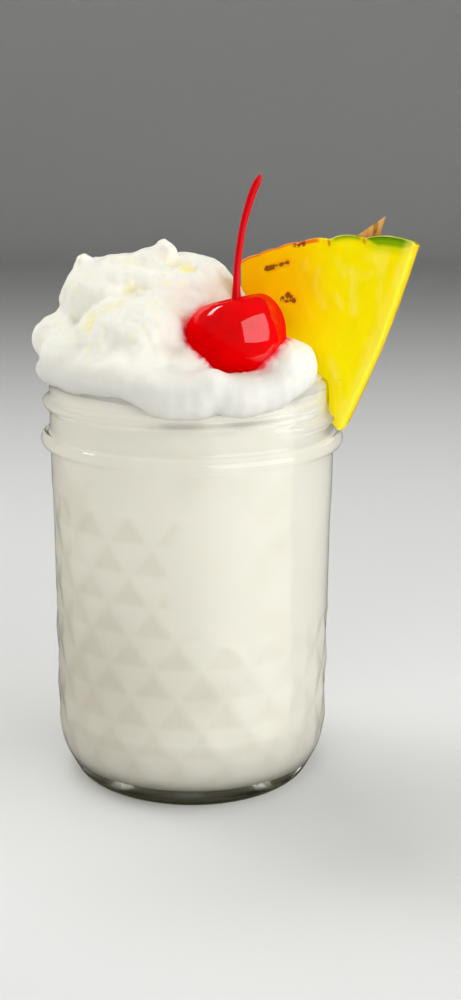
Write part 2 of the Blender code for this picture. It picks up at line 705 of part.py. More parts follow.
def build_cream(spaces):
    """The whipped cream, heaped over the rim and cut round what it touches."""
    bm = bmesh.new()
    collar_lobes(bm)
    for place, radii in DOLLOPS:
        dollop(bm, place, radii)
    cream = finish("whipped_cream", bm, material("cream", (0.9, 0.89, 0.82), 0.5))
    remesh = cream.modifiers.new("one skin", "REMESH")
    remesh.mode = "VOXEL"
    remesh.voxel_size = CREAM_VOXEL
    soften = cream.modifiers.new("soften", "SMOOTH")
    soften.iterations = 4
    apply_modifiers(cream)
    crumble(cream.data)
    thin = cream.modifiers.new("fewer faces", "DECIMATE")
    cream.data.calc_loop_triangles()
    thin.ratio = CREAM_TRIANGLES / len(cream.data.loop_triangles)
    for space in spaces:
        boolean(cream, space, "DIFFERENCE")
    apply_modifiers(cream)
    keep_largest_body(cream)
    cream.data.shade_smooth()
    return cream


def main():
    """Build every piece in its place."""
    clear_scene()
    glass = glass_space()
    slot = rim_slot()
    thread_space = finish("thread_space", thread_ridge(GAP))
    cherry_space = finish("cherry_space", cherry_shape(GAP))
    wedge_space = finish("wedge_space", wedge_shape(GAP))
    for cutter in (glass, slot, thread_space, cherry_space, wedge_space):
        hide_cutter(cutter)
    build_jar()
    build_drink(wedge_space)
    build_cherry()
    build_stem()
    build_wedge(slot, thread_space)
    build_cream((glass, thread_space, cherry_space, wedge_space))


main()
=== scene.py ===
"""The looks of a creamy iced drink in a quilted glass jar, with cream, a cherry and a pineapple wedge.

Lengths are in metres. The jar's axis is the Z axis, and the front of the drink faces -Y.
Azimuths are in degrees round the jar, from the front (-Y) towards +X.
The wedge is worked out as (s, z): s is the distance outwards from the jar's axis in the wedge's own plane.
"""

import math

import bpy
from bpy.props import FloatProperty, FloatVectorProperty, IntProperty, PointerProperty
from mathutils import Matrix, Vector, noise


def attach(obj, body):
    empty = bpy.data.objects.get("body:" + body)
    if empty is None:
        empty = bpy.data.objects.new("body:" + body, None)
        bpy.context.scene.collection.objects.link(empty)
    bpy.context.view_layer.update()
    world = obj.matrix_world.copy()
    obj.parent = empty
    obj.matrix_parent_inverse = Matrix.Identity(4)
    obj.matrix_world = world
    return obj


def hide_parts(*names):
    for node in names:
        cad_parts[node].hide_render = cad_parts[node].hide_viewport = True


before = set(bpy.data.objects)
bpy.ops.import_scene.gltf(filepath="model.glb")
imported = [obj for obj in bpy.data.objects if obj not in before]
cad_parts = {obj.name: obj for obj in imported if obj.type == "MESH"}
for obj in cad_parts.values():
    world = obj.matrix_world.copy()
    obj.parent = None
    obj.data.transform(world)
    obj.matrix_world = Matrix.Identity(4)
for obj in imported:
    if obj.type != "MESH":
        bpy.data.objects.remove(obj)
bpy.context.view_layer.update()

bl_info = {
    "name": "Creamy drink in a quilted jar",
    "version": (1, 0, 0),
    "blender": (4, 5, 0),
    "location": "3D View > Sidebar > Drink",
    "description": "Builds a creamy iced drink in a glass jar, with its cream, cherry and pineapple",
    "category": "Mesh",
}

MM = 0.001
MERGE_DISTANCE = 1e-6
# How much of the height for a bump comes from the finer pattern
FINE_TONE_SHARE = 0.35

# Jar
BASE_RADIUS = 28.05 * MM
HEEL_HEIGHT = 12.9 * MM
BODY_LOW_RADIUS = 32.75 * MM
BODY_TOP_RADIUS = 33.1 * MM
BODY_TOP = 79.9 * MM
BEAD_RADIUS = 35.3 * MM
BEAD_MIDDLE = 81.9 * MM
BEAD_HALF_HEIGHT = 1.8 * MM
NECK_RADIUS = 33.2 * MM
NECK_FOOT = 84.4 * MM
RIM_START = 96.1 * MM
RIM_TOP = 97.4 * MM
INNER_NECK_RADIUS = 30.3 * MM
INNER_BODY_RADIUS = 30.4 * MM
INNER_SHOULDER = 80.0 * MM
INNER_HEEL_TOP = 17.0 * MM
INNER_FLOOR = 4.3 * MM
INNER_FLOOR_RADIUS = 21.5 * MM
QUILT_TURN = -6.5
DIAMONDS_ROUND = 18
DIAMOND_HEIGHT = 14.4 * MM
QUILT_TOP = 70.95 * MM
QUILT_FULL_FROM = 13.35 * MM
QUILT_BOTTOM = 6.15 * MM
QUILT_FADE_TOP = 2.0 * MM
# The foot under the heel, in millimetres: radii and shares of the base's hollow, then radii and heights
FOOT_HOLLOW = ((0.0, 1.0), (20.0, 1.0), (23.0, 0.8), (24.6, 0.25), (25.6, 0.0), (26.6, 0.0))
FOOT_CORNER = ((27.35, 0.05), (27.8, 0.22))
PANEL_AZIMUTHS = (45.0, 225.0)
PANEL_HALF_TURN = 55.0
PANEL_MIDDLE = 54.2 * MM
PANEL_HALF_HEIGHT = 14.5 * MM
PANEL_SQUARENESS = 3.5
PANEL_EDGE = (0.94, 1.04)
PANEL_LEVEL = 0.5
PANEL_RISE_FROM = 60.0 * MM
PANEL_REACH_UP = 20.0 * MM
THREAD_RADIUS = 34.8 * MM
THREAD_HALF_HEIGHT = 1.35 * MM
THREAD_LEAD = 3.8 * MM
THREAD_MIDDLE = 91.6 * MM
THREAD_START = -328.0
THREAD_END = 66.0
THREAD_TAPER = 14.0
# Where the flanks above and below the thread's middle begin and end, in half heights of the thread
UPPER_FLANK = (0.05, 1.25)
LOWER_FLANK = (0.05, 2.0)
COLUMNS_A_DIAMOND = 16
INTO_WALL = 0.15 * MM
# How much lower than the outer wall's pattern the drink behind it is seen through the glass
SEEN_LOWER = 0.6 * MM
# The painted facet shade shows less towards the right: between these azimuths, and by this share
FACET_FADE = (-15.0, 40.0)
FACET_FADE_SHARE = 0.5
FACET_FADE_UP = 3.0 * MM

# Cream
COLLAR_STEPS = 60
COLLAR_FROM = 94.0
COLLAR_TO = 410.0
COLLAR_TAPER = 14.0
COLLAR_RADIUS = 30.3 * MM
COLLAR_LOBE = (4.6 * MM, 6.0 * MM, 5.2 * MM)
COLLAR_EDGE = 97.6 * MM
COLLAR_DROOP = 4.0 * MM
COLLAR_DROOP_FROM = (-31.0, -8.0)
COLLAR_DROOP_TO = (20.0, 58.0)
COLLAR_NOTCH = 1.5 * MM
COLLAR_NOTCH_AZIMUTH = 8.0
COLLAR_NOTCH_WIDTH = 4.0
COLLAR_LEFT = 1.6 * MM
COLLAR_LEFT_AZIMUTH = -93.0
COLLAR_LEFT_WIDTH = 25.0
COLLAR_UNEVEN = 0.8 * MM
COLLAR_UNEVEN_SIZE = 0.12
COLLAR_UNEVEN_SCALE = 4.0
COLLAR_END_SIZE = 0.7
# Each soft lemon hollow or crease: its two ends and its reach in millimetres, and its strength
LEMON_CREASES = (
    ((-1.3, -2.8, 120.6), (-0.9, -2.8, 120.8), 1.7, 0.85),
    ((-13.9, -9.6, 117.4), (-13.5, -9.6, 117.4), 1.3, 0.5),
    ((-14.6, -4.0, 121.6), (-13.6, -4.0, 121.8), 2.2, 0.25),
    ((-22.5, -20.9, 109.9), (-22.5, -18.0, 112.2), 1.3, 0.6),
    ((-22.5, -18.0, 112.2), (-24.0, -12.0, 113.9), 1.1, 0.4),
    ((-22.2, -18.0, 112.0), (-19.2, -19.0, 113.4), 1.1, 0.4),
    ((-19.2, -19.0, 113.4), (-16.0, -17.0, 115.0), 1.3, 0.35),
)
# Each soft upright crease in the band over the rim: its azimuth, its half width in degrees and its depth
BAND_CREASES = ((9.5, 4.0, 0.35 * MM), (28.0, 4.0, 0.4 * MM), (-20.0, 4.0, 0.3 * MM))
LEMON_DENT = 1.0 * MM
NEST_LUMPS = 28
NEST_LUMP = 1.9 * MM
CONTACT_FRONT = 100.2 * MM
CONTACT_RISE = 4.6 * MM
CONTACT_LEFT = 3.0 * MM
CONTACT_LEFT_TURNS = (math.radians(25.0), math.radians(52.0))
CRUMB_SIZE = 5.2 * MM
FINE_CRUMB_SIZE = 2.4 * MM
FOLD_SIZE = 5.0 * MM
FOLD_TALL = 15.0 * MM
FOLD_DEPTH = 0.7 * MM
CREASE_DEPTH = 0.25 * MM
SMALL_CREASE_DEPTH = 0.14 * MM
CREASED_CURD = 6.2 * MM
SMALL_CURD = 2.4 * MM
SMALL_CURD_SHIFT = Vector((0.1, 0.0, 0.0))
CHERRY_CRUMB_SIZE = 1.0 * MM
CHERRY_CRUMB_DEPTH = 0.45 * MM
CUTTER_FOOT = 78.0 * MM
CUTTER_STEPS = 144
DRINK_LEVEL = 95.0 * MM
# Each spoonful: its place and its half sizes in millimetres
DOLLOPS = (
    ((0.0, 0.0, 96.5), (32.2, 32.2, 5.5)),
    ((-9.0, 6.0, 103.0), (22.0, 23.0, 20.5)),
    ((-26.5, -1.0, 104.8), (10.8, 12.0, 6.8)),
    ((-19.5, 1.0, 113.5), (11.3, 13.0, 9.6)),
    ((-24.2, 0.0, 120.0), (2.6, 3.0, 4.4)),
    ((-14.0, 3.0, 116.2), (12.0, 13.0, 8.0)),
    ((-10.0, 1.0, 119.4), (6.4, 6.4, 6.2)),
    ((-6.1, 0.0, 123.9), (2.7, 3.0, 4.0)),
    ((-0.6, 5.0, 107.8), (13.6, 15.0, 16.0)),
    ((8.0, 3.0, 104.5), (8.5, 10.0, 10.0)),
    ((19.3, -18.0, 100.7), (8.3, 9.0, 7.2)),
    ((-13.0, -17.0, 101.0), (14.0, 13.0, 8.6)),
    ((-24.0, -11.0, 102.6), (10.3, 12.0, 6.6)),
    ((-13.0, -13.0, 106.0), (14.0, 13.0, 10.0)),
    ((-4.0, -24.0, 97.0), (13.0, 9.0, 5.6)),
    ((-2.5, -22.0, 100.5), (7.0, 7.0, 5.2)),
    ((12.0, 14.0, 102.0), (15.0, 14.0, 10.0)),
    ((-14.0, 18.0, 103.0), (15.0, 12.0, 9.0)),
)

# Cherry and stem
CHERRY_PLACE = Vector((9.7 * MM, -17.2 * MM, 107.45 * MM))
CHERRY_RADIUS = 11.05 * MM
CHERRY_HALF_HEIGHT = 10.35 * MM
CHERRY_DIMPLE = 0.36
CHERRY_DIMPLE_WIDTH = 0.41
CHERRY_SHOULDER = 0.16
CHERRY_BROAD = 0.06
CHERRY_UNEVEN = 0.012
CHERRY_SEGMENTS = 112
CHERRY_RINGS = 80
CHERRY_LEAN = (math.radians(-4.0), math.radians(-4.5))
STEM_TIP = Vector((14.7 * MM, -14.0 * MM, 142.0 * MM))
STEM_BEND = 2.6
STEM_ASIDE = 0.45 * MM
STEM_STEPS = 60

# Pineapple
WEDGE_AZIMUTH = 74.0
WEDGE_SET_BACK = 1.0 * MM
WEDGE_TIP = (35.5 * MM, 86.2 * MM)
WEDGE_TIP_RADIUS = 1.0 * MM
WEDGE_CORNER = (13.7 * MM, 117.2 * MM)
WEDGE_CORNER_RADIUS = 1.5 * MM
WEDGE_LEFT_FACING = 217.0
WEDGE_RIGHT_FACING = 340.0
WEDGE_SIDE_BULGE = 0.9 * MM
RIND_CENTRE = (40.2 * MM, 64.5 * MM)
RIND_RADIUS = 64.9 * MM
RIND_RIGHT = 10.0
RIND_LEFT = -25.6
RIND_STEPS = 140
EYE_NARROWING = (0.1208, -0.00282)
EYE_HEIGHT = 0.9 * MM
LEFT_EYES = 0.3
LEFT_EYES_FROM = (-8.5, -12.0)
RIND_FALL = 0.85 * MM
SIDE_ROUND = 1.2 * MM
WEDGE_DETAIL = 0.4 * MM
FIBRE_HEIGHT = 0.05 * MM
UNEVEN_HEIGHT = 0.16 * MM
UNEVEN_SIZE = 3.6 * MM
PIT_DEPTH = 0.4 * MM
FIBRE_ROOT = (36.5 * MM, 80.0 * MM)
# The leaf tip: where its left edge, its right edge and its point lie along s, and how high it stands
LEAF_LEFT = 36.6 * MM
LEAF_RIGHT = 43.0 * MM
LEAF_POINT = 43.9 * MM
LEAF_FOOT = 127.9 * MM
LEAF_HEIGHT = 5.2 * MM
LEAF_FORWARD = 0.8 * MM
LEAF_FOOT_THICK = 0.45 * MM
LEAF_POINT_THICK = 0.12 * MM
LEAF_STEPS = 16
# Each brown spot between two eyes: its turn and half width in degrees, its foot and its strength
NOTCH_SPOTS = ((-7.3, 0.45, 2.0 * MM, 0.85), (-0.3, 0.6, 1.7 * MM, 0.75))
# The open eyes on the cut face: the ends of each stroke and its reach, in millimetres
EYE_PITS = (
    ((18.1, 121.2), (20.0, 121.9), 0.8),
    ((20.0, 121.9), (22.7, 122.8), 0.75),
    ((21.7, 114.4), (24.4, 114.3), 0.6),
    ((21.9, 114.6), (23.0, 115.9), 0.6),
    ((24.2, 114.5), (23.0, 115.9), 0.6),
    ((23.0, 114.8), (23.2, 115.4), 0.7),
)
# The pale strokes between the fibres: the ends of each and its reach, in millimetres
PALE_STROKES = (
    ((34.1, 123.5), (35.9, 120.5), 0.55),
    ((41.2, 120.9), (38.1, 119.7), 0.6),
    ((37.0, 121.4), (39.4, 120.6), 0.6),
    ((37.9, 119.4), (38.1, 112.4), 0.6),
    ((30.0, 121.4), (29.2, 118.1), 0.5),
    ((29.2, 118.1), (31.4, 113.3), 0.5),
    ((34.0, 116.0), (35.2, 113.4), 0.5),
    ((41.3, 124.6), (42.2, 124.6), 0.9),
    ((47.7, 121.1), (47.0, 118.6), 0.6),
    ((26.9, 123.1), (26.9, 121.3), 0.5),
    ((33.0, 101.5), (34.5, 97.2), 0.5),
    ((38.8, 96.1), (41.3, 101.2), 0.5),
    ((45.1, 114.9), (43.9, 112.0), 0.55),
)

# Stage
DAYLIGHT = (0.975, 0.985, 1.0)
WHITE = (1.0, 1.0, 1.0)
LIT_MIDDLE = (0.0, 0.0, 0.07)
# Each soft light: its name, place, size, strength in watts and colour, and what it leaves out
SOFTBOXES = (
    ("right_softbox", (0.5, -0.44, 0.32), (0.88, 0.8), 4.6, DAYLIGHT, None),
    ("right_glint", (0.5, -0.44, 0.32), (0.88, 0.8), 2.6, WHITE, "visible_diffuse"),
    ("right_fill", (0.66, 0.12, 0.36), (0.5, 0.6), 2.1, DAYLIGHT, "visible_glossy"),
    ("left_softbox", (-0.58, 0.16, 0.22), (0.5, 0.6), 2.15, WHITE, "visible_glossy"),
    ("upper_glint", (-0.33, 0.32, 0.58), (0.3, 0.08), 0.5, WHITE, "visible_diffuse"),
    ("top_softbox", (-0.14, 0.2, 0.64), (0.34, 0.2), 1.8, WHITE, "visible_glossy"),
    ("front_fill", (-0.3, -0.8, 0.4), (0.6, 0.5), 2.15, WHITE, "visible_glossy"),
)
WORLD_STRENGTH = 0.06
FLOOR_RADIUS = 1.2
FLOOR_SWEEP = 0.5
WALL_TOP = 1.6
CAMERA_TILT = math.radians(75.0)
CAMERA_SENSOR = 36.0
CAMERA_SHIFT = 0.0385
CAMERA_NEAR = 0.01


def srgb(red, green, blue):
    """A colour seen on screen, 0 to 255, as the linear values that shaders use."""
    linear = []
    for value in (red, green, blue):
        part = value / 255.0
        linear.append(part / 12.92 if part <= 0.04045 else ((part + 0.055) / 1.055) ** 2.4)
    return tuple(linear)


def length(name, description, default):
    """A length that shows in the sidebar."""
    return FloatProperty(name=name, description=description, default=default, unit="LENGTH", precision=5)


def colour(name, description, default):
    """A colour that shows in the sidebar."""
    return FloatVectorProperty(
        name=name, description=description, default=default, subtype="COLOR", size=3, min=0.0, max=1.0
    )


class JarSettings(bpy.types.PropertyGroup):
    """Sizes and colour of the glass jar."""

    diamond_depth: length("Diamond depth", "How deep the grooves between the diamonds are", 0.5 * MM)
    base_hollow: length("Base hollow", "How far the middle of the base is raised off the table", 0.7 * MM)
    glass: colour("Glass", "Tint of the glass", (0.985, 0.987, 0.965))
    # The thick glass tint is partly the olive of thick glass, mostly painted shade that makes the base
    # under the drink dark
    thick: colour("Thick glass", "Tint of the thick glass under the drink", (0.05, 0.052, 0.016))
    segments: IntProperty(
        name="Columns a diamond",
        description="Faces across one diamond",
        default=COLUMNS_A_DIAMOND,
        min=4,
        max=24,
    )


class DrinkSettings(bpy.types.PropertyGroup):
    """Level and colours of the drink."""

    level: length("Level", "Height of the drink's surface above the table", DRINK_LEVEL)
    relief: length("Relief", "How deep the diamonds show in the drink behind the glass", 0.22 * MM)
    body: colour("Drink", "Colour of the drink", srgb(221, 218, 208))
    shade: colour("Deeper drink", "Colour of the drink where it is denser", srgb(211, 207, 194))
    # Painted light: this colour lightens the drink just under the cream and at its foot, where they lie in
    # shade
    painted_light: colour("Painted_light", "Colour of the drink near its surface and at the foot", srgb(236, 232, 222))
    low: colour("Low left", "Colour of the drink at its lower left, in the shade", srgb(203, 198, 185))
    # Painted shade: the upper half of each diamond darkens the drink behind it
    painted_facet_shade: colour("Facets", "How the pressed diamonds darken the drink behind them", (0.94, 0.935, 0.915))


class CreamSettings(bpy.types.PropertyGroup):
    """Crumbs and colours of the whipped cream."""

    crumb_depth: length("Crumb depth", "How rough the upper part of the cream is", 0.7 * MM)
    fine_crumb_depth: length("Fine crumb depth", "Height of the finest crumbs", 0.3 * MM)
    detail: length("Detail", "Size of the faces of the cream", 0.45 * MM)
    cream: colour("Cream", "Colour of the cream", srgb(240, 238, 226))
    # Painted shade: this multiplies the cream darker and cooler towards the rim
    low: colour("Low cream", "How much the cream darkens towards the rim", (0.86, 0.86, 0.9))
    # This colour is used for the listed lemon spots and as painted warm shade in the creases
    hollow: colour("Hollows", "Lemon tint in the hollows", srgb(252, 240, 150))
    stain: colour("Stain", "Pink that the cherry leaves on the cream", srgb(250, 70, 95))


class CherrySettings(bpy.types.PropertyGroup):
    """Size and colours of the cherry and its stem."""

    radius: length("Cherry radius", "Radius of the cherry at its middle", CHERRY_RADIUS)
    stem_radius: length("Stem radius", "Radius of the stem at its middle", 0.74 * MM)
    skin: colour("Skin", "Colour of the cherry", srgb(236, 0, 3))
    deep: colour("Deep skin", "Darker red of the cherry", srgb(206, 0, 4))
    stem: colour("Stem", "Colour of the stem", srgb(214, 0, 20))


class PineappleSettings(bpy.types.PropertyGroup):
    """Size and colours of the pineapple wedge."""

    thickness: length("Thickness", "Thickness of the slice", 8.0 * MM)
    flesh: colour("Flesh", "Yellow of the flesh", srgb(255, 233, 0))
    ripe: colour("Ripe flesh", "Orange of the ripest flesh", srgb(255, 200, 0))
    fibre: colour("Fibres", "Pale streaks between the fibres", srgb(255, 236, 96))
    green: colour("Green rind", "Green edge under the rind", srgb(130, 170, 0))
    brown: colour("Brown rind", "Brown of the skin and the eyes", srgb(150, 82, 26))


class StageSettings(bpy.types.PropertyGroup):
    """Floor, lights and camera."""

    floor: colour("Floor", "Colour of the floor", srgb(226, 226, 224))
    lens: FloatProperty(
        name="Lens", description="Focal length of the camera", default=53.1, min=10.0, unit="CAMERA"
    )
    camera_height: length("Camera height", "Height of the camera above the table", 0.15665)
    camera_distance: length("Camera distance", "Distance from the camera to the jar's axis", 0.339)


def deselect_all():
    """Leave edit mode with nothing selected."""
    if bpy.context.mode != "OBJECT":
        bpy.ops.object.mode_set(mode="OBJECT")
    bpy.ops.object.select_all(action="DESELECT")


def activate(obj):
    """Select one object alone."""
    deselect_all()
    obj.select_set(True)
    bpy.context.view_layer.objects.active = obj


def edit(obj):
    """Go into edit mode on one object with all of it selected."""
    activate(obj)
    bpy.ops.object.mode_set(mode="EDIT")
    bpy.ops.mesh.select_all(action="SELECT")


def close_edit():
    """Merge doubles, turn the faces outwards and leave edit mode."""
    bpy.ops.mesh.select_all(action="SELECT")
    bpy.ops.mesh.remove_doubles(threshold=MERGE_DISTANCE)
    bpy.ops.mesh.normals_make_consistent(inside=False)
    bpy.ops.object.mode_set(mode="OBJECT")


def add_modifier(obj, kind, **settings):
    """Add a modifier with its settings and apply it."""
    activate(obj)
    modifier = obj.modifiers.new(kind.lower(), kind)
    for name, value in settings.items():
        setattr(modifier, name, value)
    bpy.ops.object.modifier_apply(modifier=modifier.name)


def cut_with(obj, cutter):
    """Cut an object with another, which is then removed."""
    add_modifier(obj, "BOOLEAN", operation="DIFFERENCE", object=cutter, solver="MANIFOLD")
    bpy.data.objects.remove(cutter)
    if not obj.data.polygons:
        raise RuntimeError(f"nothing is left of {obj.name}")


def mesh_object(name, points, edges=(), faces=()):
    """A new object from points, edges and faces."""
    mesh = bpy.data.meshes.new(name)
    mesh.from_pydata(points, edges, faces)
    obj = bpy.data.objects.new(name, mesh)
    bpy.context.scene.collection.objects.link(obj)
    return obj


def float_marks(mesh, names):
    """New float attributes of a mesh's points, which its material reads by name."""
    for name in names:
        mesh.attributes.new(name, "FLOAT", "POINT")
    return [mesh.attributes[name].data for name in names]


def complete(obj, node, material):
    """Shade a finished piece, give it its material, and let it stand for its node."""
    activate(obj)
    bpy.ops.object.transform_apply(location=True, rotation=True, scale=True)
    bpy.ops.object.shade_smooth()
    obj.data.materials.clear()
    obj.data.materials.append(material)
    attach(obj, "root")
    if node:
        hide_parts(node)
    if not obj.data.polygons:
        raise RuntimeError(f"{obj.name} has no faces")


def smoothstep(low, high, value):
    """Rise from 0 to 1 between low and high."""
    t = min(max((value - low) / (high - low), 0.0), 1.0)
    return t * t * (3.0 - 2.0 * t)


def at_azimuth(radius, azimuth, height):
    """A point on a circle round the jar."""
    turn = math.radians(azimuth)
    return Vector((radius * math.sin(turn), -radius * math.cos(turn), height))


def azimuth_of(point):
    """The azimuth of a point round the jar, -180 to 180."""
    return math.degrees(math.atan2(point.x, -point.y))


def arc(centre, half_width, half_height, first, last, steps):
    """Points of an elliptical arc, by angle in degrees."""
    points = []
    for step in range(steps + 1):
        angle = math.radians(first + (last - first) * step / steps)
        across = centre[0] + half_width * math.cos(angle)
        points.append((across, centre[1] + half_height * math.sin(angle)))
    return points


def near_azimuth(azimuth, middle, width):
    """1 at an azimuth, falling off smoothly to both sides of it."""
    apart = (azimuth - middle + 180.0) % 360.0 - 180.0
    return math.exp(-((apart / width) ** 2))


def spin_outline(name, outline, steps, ring=False):
    """Spin an outline of (radius, height) points once round the jar's axis."""
    points = [at_azimuth(radius, QUILT_TURN, height) for radius, height in outline]
    edges = [(i, i + 1) for i in range(len(points) - 1)]
    if ring:
        edges.append((len(points) - 1, 0))
    obj = mesh_object(name, points, edges)
    edit(obj)
    bpy.ops.mesh.spin(steps=steps, angle=2.0 * math.pi, center=(0.0, 0.0, 0.0), axis=(0.0, 0.0, 1.0))
    close_edit()
    return obj


# Materials


class Shades:
    """A material's node tree, with short ways to add and join its nodes."""

    def __init__(self, name):
        self.material = bpy.data.materials.new(name)
        self.material.use_nodes = True
        self.nodes = self.material.node_tree.nodes
        self.links = self.material.node_tree.links
        self.shader = self.nodes["Principled BSDF"]
        self.place = self.nodes.new("ShaderNodeTexCoord").outputs["Object"]

    def put(self, socket, value):
        """Set a socket, or link an output to it."""
        if isinstance(value, bpy.types.NodeSocket):
            self.links.new(value, socket)
        elif socket.type == "RGBA" and len(value) == 3:
            socket.default_value = (*value, 1.0)
        else:
            socket.default_value = value

    def add(self, kind, inputs=None, **settings):
        """A new node with its settings; inputs are values or other nodes' outputs."""
        node = self.nodes.new(kind)
        for name, value in settings.items():
            setattr(node, name, value)
        for name, value in (inputs or {}).items():
            self.put(node.inputs[name], value)
        return node

    def set(self, **values):
        """Set the shader's own sockets, with underscores for spaces."""
        for name, value in values.items():
            self.put(self.shader.inputs[name.replace("_", " ")], value)

    def soften(self, weight, radius):
        """Let light sink into the piece; the radius is in millimetres, for red, green and blue."""
        self.set(Subsurface_Weight=weight, Subsurface_Radius=radius, Subsurface_Scale=1.0 * MM)

    def math(self, operation, *values):
        """A Math node's output."""
        return self.add("ShaderNodeMath", dict(enumerate(values)), operation=operation).outputs[0]

    def times(self, product, *values):
        """Several values multiplied."""
        for value in values:
            product = self.math("MULTIPLY", product, value)
        return product

    def apart(self, value, middle):
        """How far a value is from a middle one."""
        return self.math("ABSOLUTE", self.math("SUBTRACT", value, middle))

    def distance(self, first, second):
        """Distance between two places."""
        node = self.add("ShaderNodeVectorMath", {0: first, 1: second}, operation="DISTANCE")
        return node.outputs["Value"]

    def ramp(self, value, low, high, start=0.0, end=1.0):
        """Map a value from low..high to start..end smoothly, clamped."""
        given = {"Value": value, "From Min": low, "From Max": high, "To Min": start, "To Max": end}
        return self.add("ShaderNodeMapRange", given, interpolation_type="SMOOTHSTEP").outputs["Result"]

    def mix(self, factor, first, second, blend="MIX"):
        """A mix of two colours."""
        node = self.add("ShaderNodeMix", data_type="RGBA", blend_type=blend)
        colours = [socket for socket in node.inputs if socket.type == "RGBA"]
        for socket, value in zip((node.inputs["Factor"], *colours), (factor, first, second)):
            self.put(socket, value)
        return next(socket for socket in node.outputs if socket.type == "RGBA")

    def mark(self, name):
        """What the mesh's points carry under a name."""
        return self.add("ShaderNodeAttribute", attribute_name=name).outputs["Fac"]

    def axes(self):
        """The Object coordinates, one by one."""
        return self.add("ShaderNodeSeparateXYZ", {0: self.place}).outputs

    def noise(self, scale, detail=3.0):
        """A Noise texture's value; scale is in patches per metre."""
        given = {"Vector": self.place, "Scale": scale, "Detail": detail}
        return self.add("ShaderNodeTexNoise", given).outputs[0]

    def streaked(self, squeeze):
        """Places squeezed along Z, on which a pattern makes upright streaks."""
        given = {"Vector": self.place, "Scale": (1.0, 1.0, squeeze)}
        return self.add("ShaderNodeMapping", given).outputs[0]

    def tones(self, place, scales, limits, colours):
        """The group of drifting tones, with its two scales, the limits of its mix and its two colours."""
        names = ("Scale", "Fine scale", "Low", "High", "First tone", "Second tone")
        given = dict(zip(names, (*scales, *limits, *colours)), Place=place)
        return self.add("ShaderNodeGroup", given, node_tree=mottle_group()).outputs

    def bump(self, height, strength, distance):
        """A Bump node that feeds the shader's Normal."""
        node = self.add("ShaderNodeBump", {"Height": height, "Strength": strength, "Distance": distance})
        self.set(Normal=node.outputs["Normal"])


def mottle_group():
    """Two tones that drift into each other, with a height for the bump, for all that is eaten or drunk."""
    found = bpy.data.node_groups.get("Drifting tones")
    if found:
        return found
    tree = bpy.data.node_groups.new("Drifting tones", "ShaderNodeTree")
    tree.interface.new_socket("Place", in_out="INPUT", socket_type="NodeSocketVector")
    for name, default in (("Scale", 100.0), ("Fine scale", 600.0), ("Low", 0.35), ("High", 0.65)):
        socket = tree.interface.new_socket(name, in_out="INPUT", socket_type="NodeSocketFloat")
        socket.default_value = default
    for name in ("First tone", "Second tone"):
        tree.interface.new_socket(name, in_out="INPUT", socket_type="NodeSocketColor")
    for name, kind in (("Colour", "Color"), ("Mask", "Float"), ("Height", "Float")):
        tree.interface.new_socket(name, in_out="OUTPUT", socket_type="NodeSocket" + kind)
    given = tree.nodes.new("NodeGroupInput").outputs
    result = tree.nodes.new("NodeGroupOutput").inputs
    coarse = tree.nodes.new("ShaderNodeTexNoise")
    fine = tree.nodes.new("ShaderNodeTexNoise")
    for node, scale, detail in ((coarse, "Scale", 3.0), (fine, "Fine scale", 4.0)):
        tree.links.new(given["Place"], node.inputs["Vector"])
        tree.links.new(given[scale], node.inputs["Scale"])
        node.inputs["Detail"].default_value = detail
    spread = tree.nodes.new("ShaderNodeMapRange")
    spread.interpolation_type = "SMOOTHSTEP"
    blend = tree.nodes.new("ShaderNodeMix")
    blend.data_type = "RGBA"
    colours = [socket for socket in blend.inputs if socket.type == "RGBA"]
    both = tree.nodes.new("ShaderNodeMath")
    both.operation = "MULTIPLY_ADD"
    both.inputs[1].default_value = FINE_TONE_SHARE
    for source, target in (
        (coarse.outputs[0], spread.inputs["Value"]),
        (given["Low"], spread.inputs["From Min"]),
        (given["High"], spread.inputs["From Max"]),
        (spread.outputs["Result"], blend.inputs["Factor"]),
        (given["First tone"], colours[0]),
        (given["Second tone"], colours[1]),
        (fine.outputs[0], both.inputs[0]),
        (coarse.outputs[0], both.inputs[2]),
        (next(socket for socket in blend.outputs if socket.type == "RGBA"), result["Colour"]),
        (spread.outputs["Result"], result["Mask"]),
        (both.outputs[0], result["Height"]),
    ):
        tree.links.new(source, target)
    return tree


def clear_glass(settings):
    """Clear pressed glass that lets the lamps through to the drink, olive where it is thick and made dark
    there as painted shade.
    """
    shades = Shades("clear_pressed_glass")
    # Painted shade: the thick base under the drink takes the dark olive thick-glass tint
    tint = shades.mix(shades.ramp(shades.axes()["Z"], 4.6 * MM, 2.4 * MM), settings.glass, settings.thick)
    shades.set(Base_Color=tint, Roughness=0.015, IOR=1.5, Transmission_Weight=1.0)
    shades.bump(shades.noise(90.0, 2.0), 0.12, 0.6 * MM)
    glass = shades.shader.outputs[0]
    through = shades.add("ShaderNodeBsdfTransparent", {"Color": (0.97, 0.975, 0.955)}).outputs[0]
    shadow = shades.nodes.new("ShaderNodeLightPath").outputs["Is Shadow Ray"]
    both = shades.add("ShaderNodeMixShader", {0: shadow, 1: glass, 2: through})
    shades.put(shades.nodes["Material Output"].inputs["Surface"], both.outputs[0])
    return shades.material


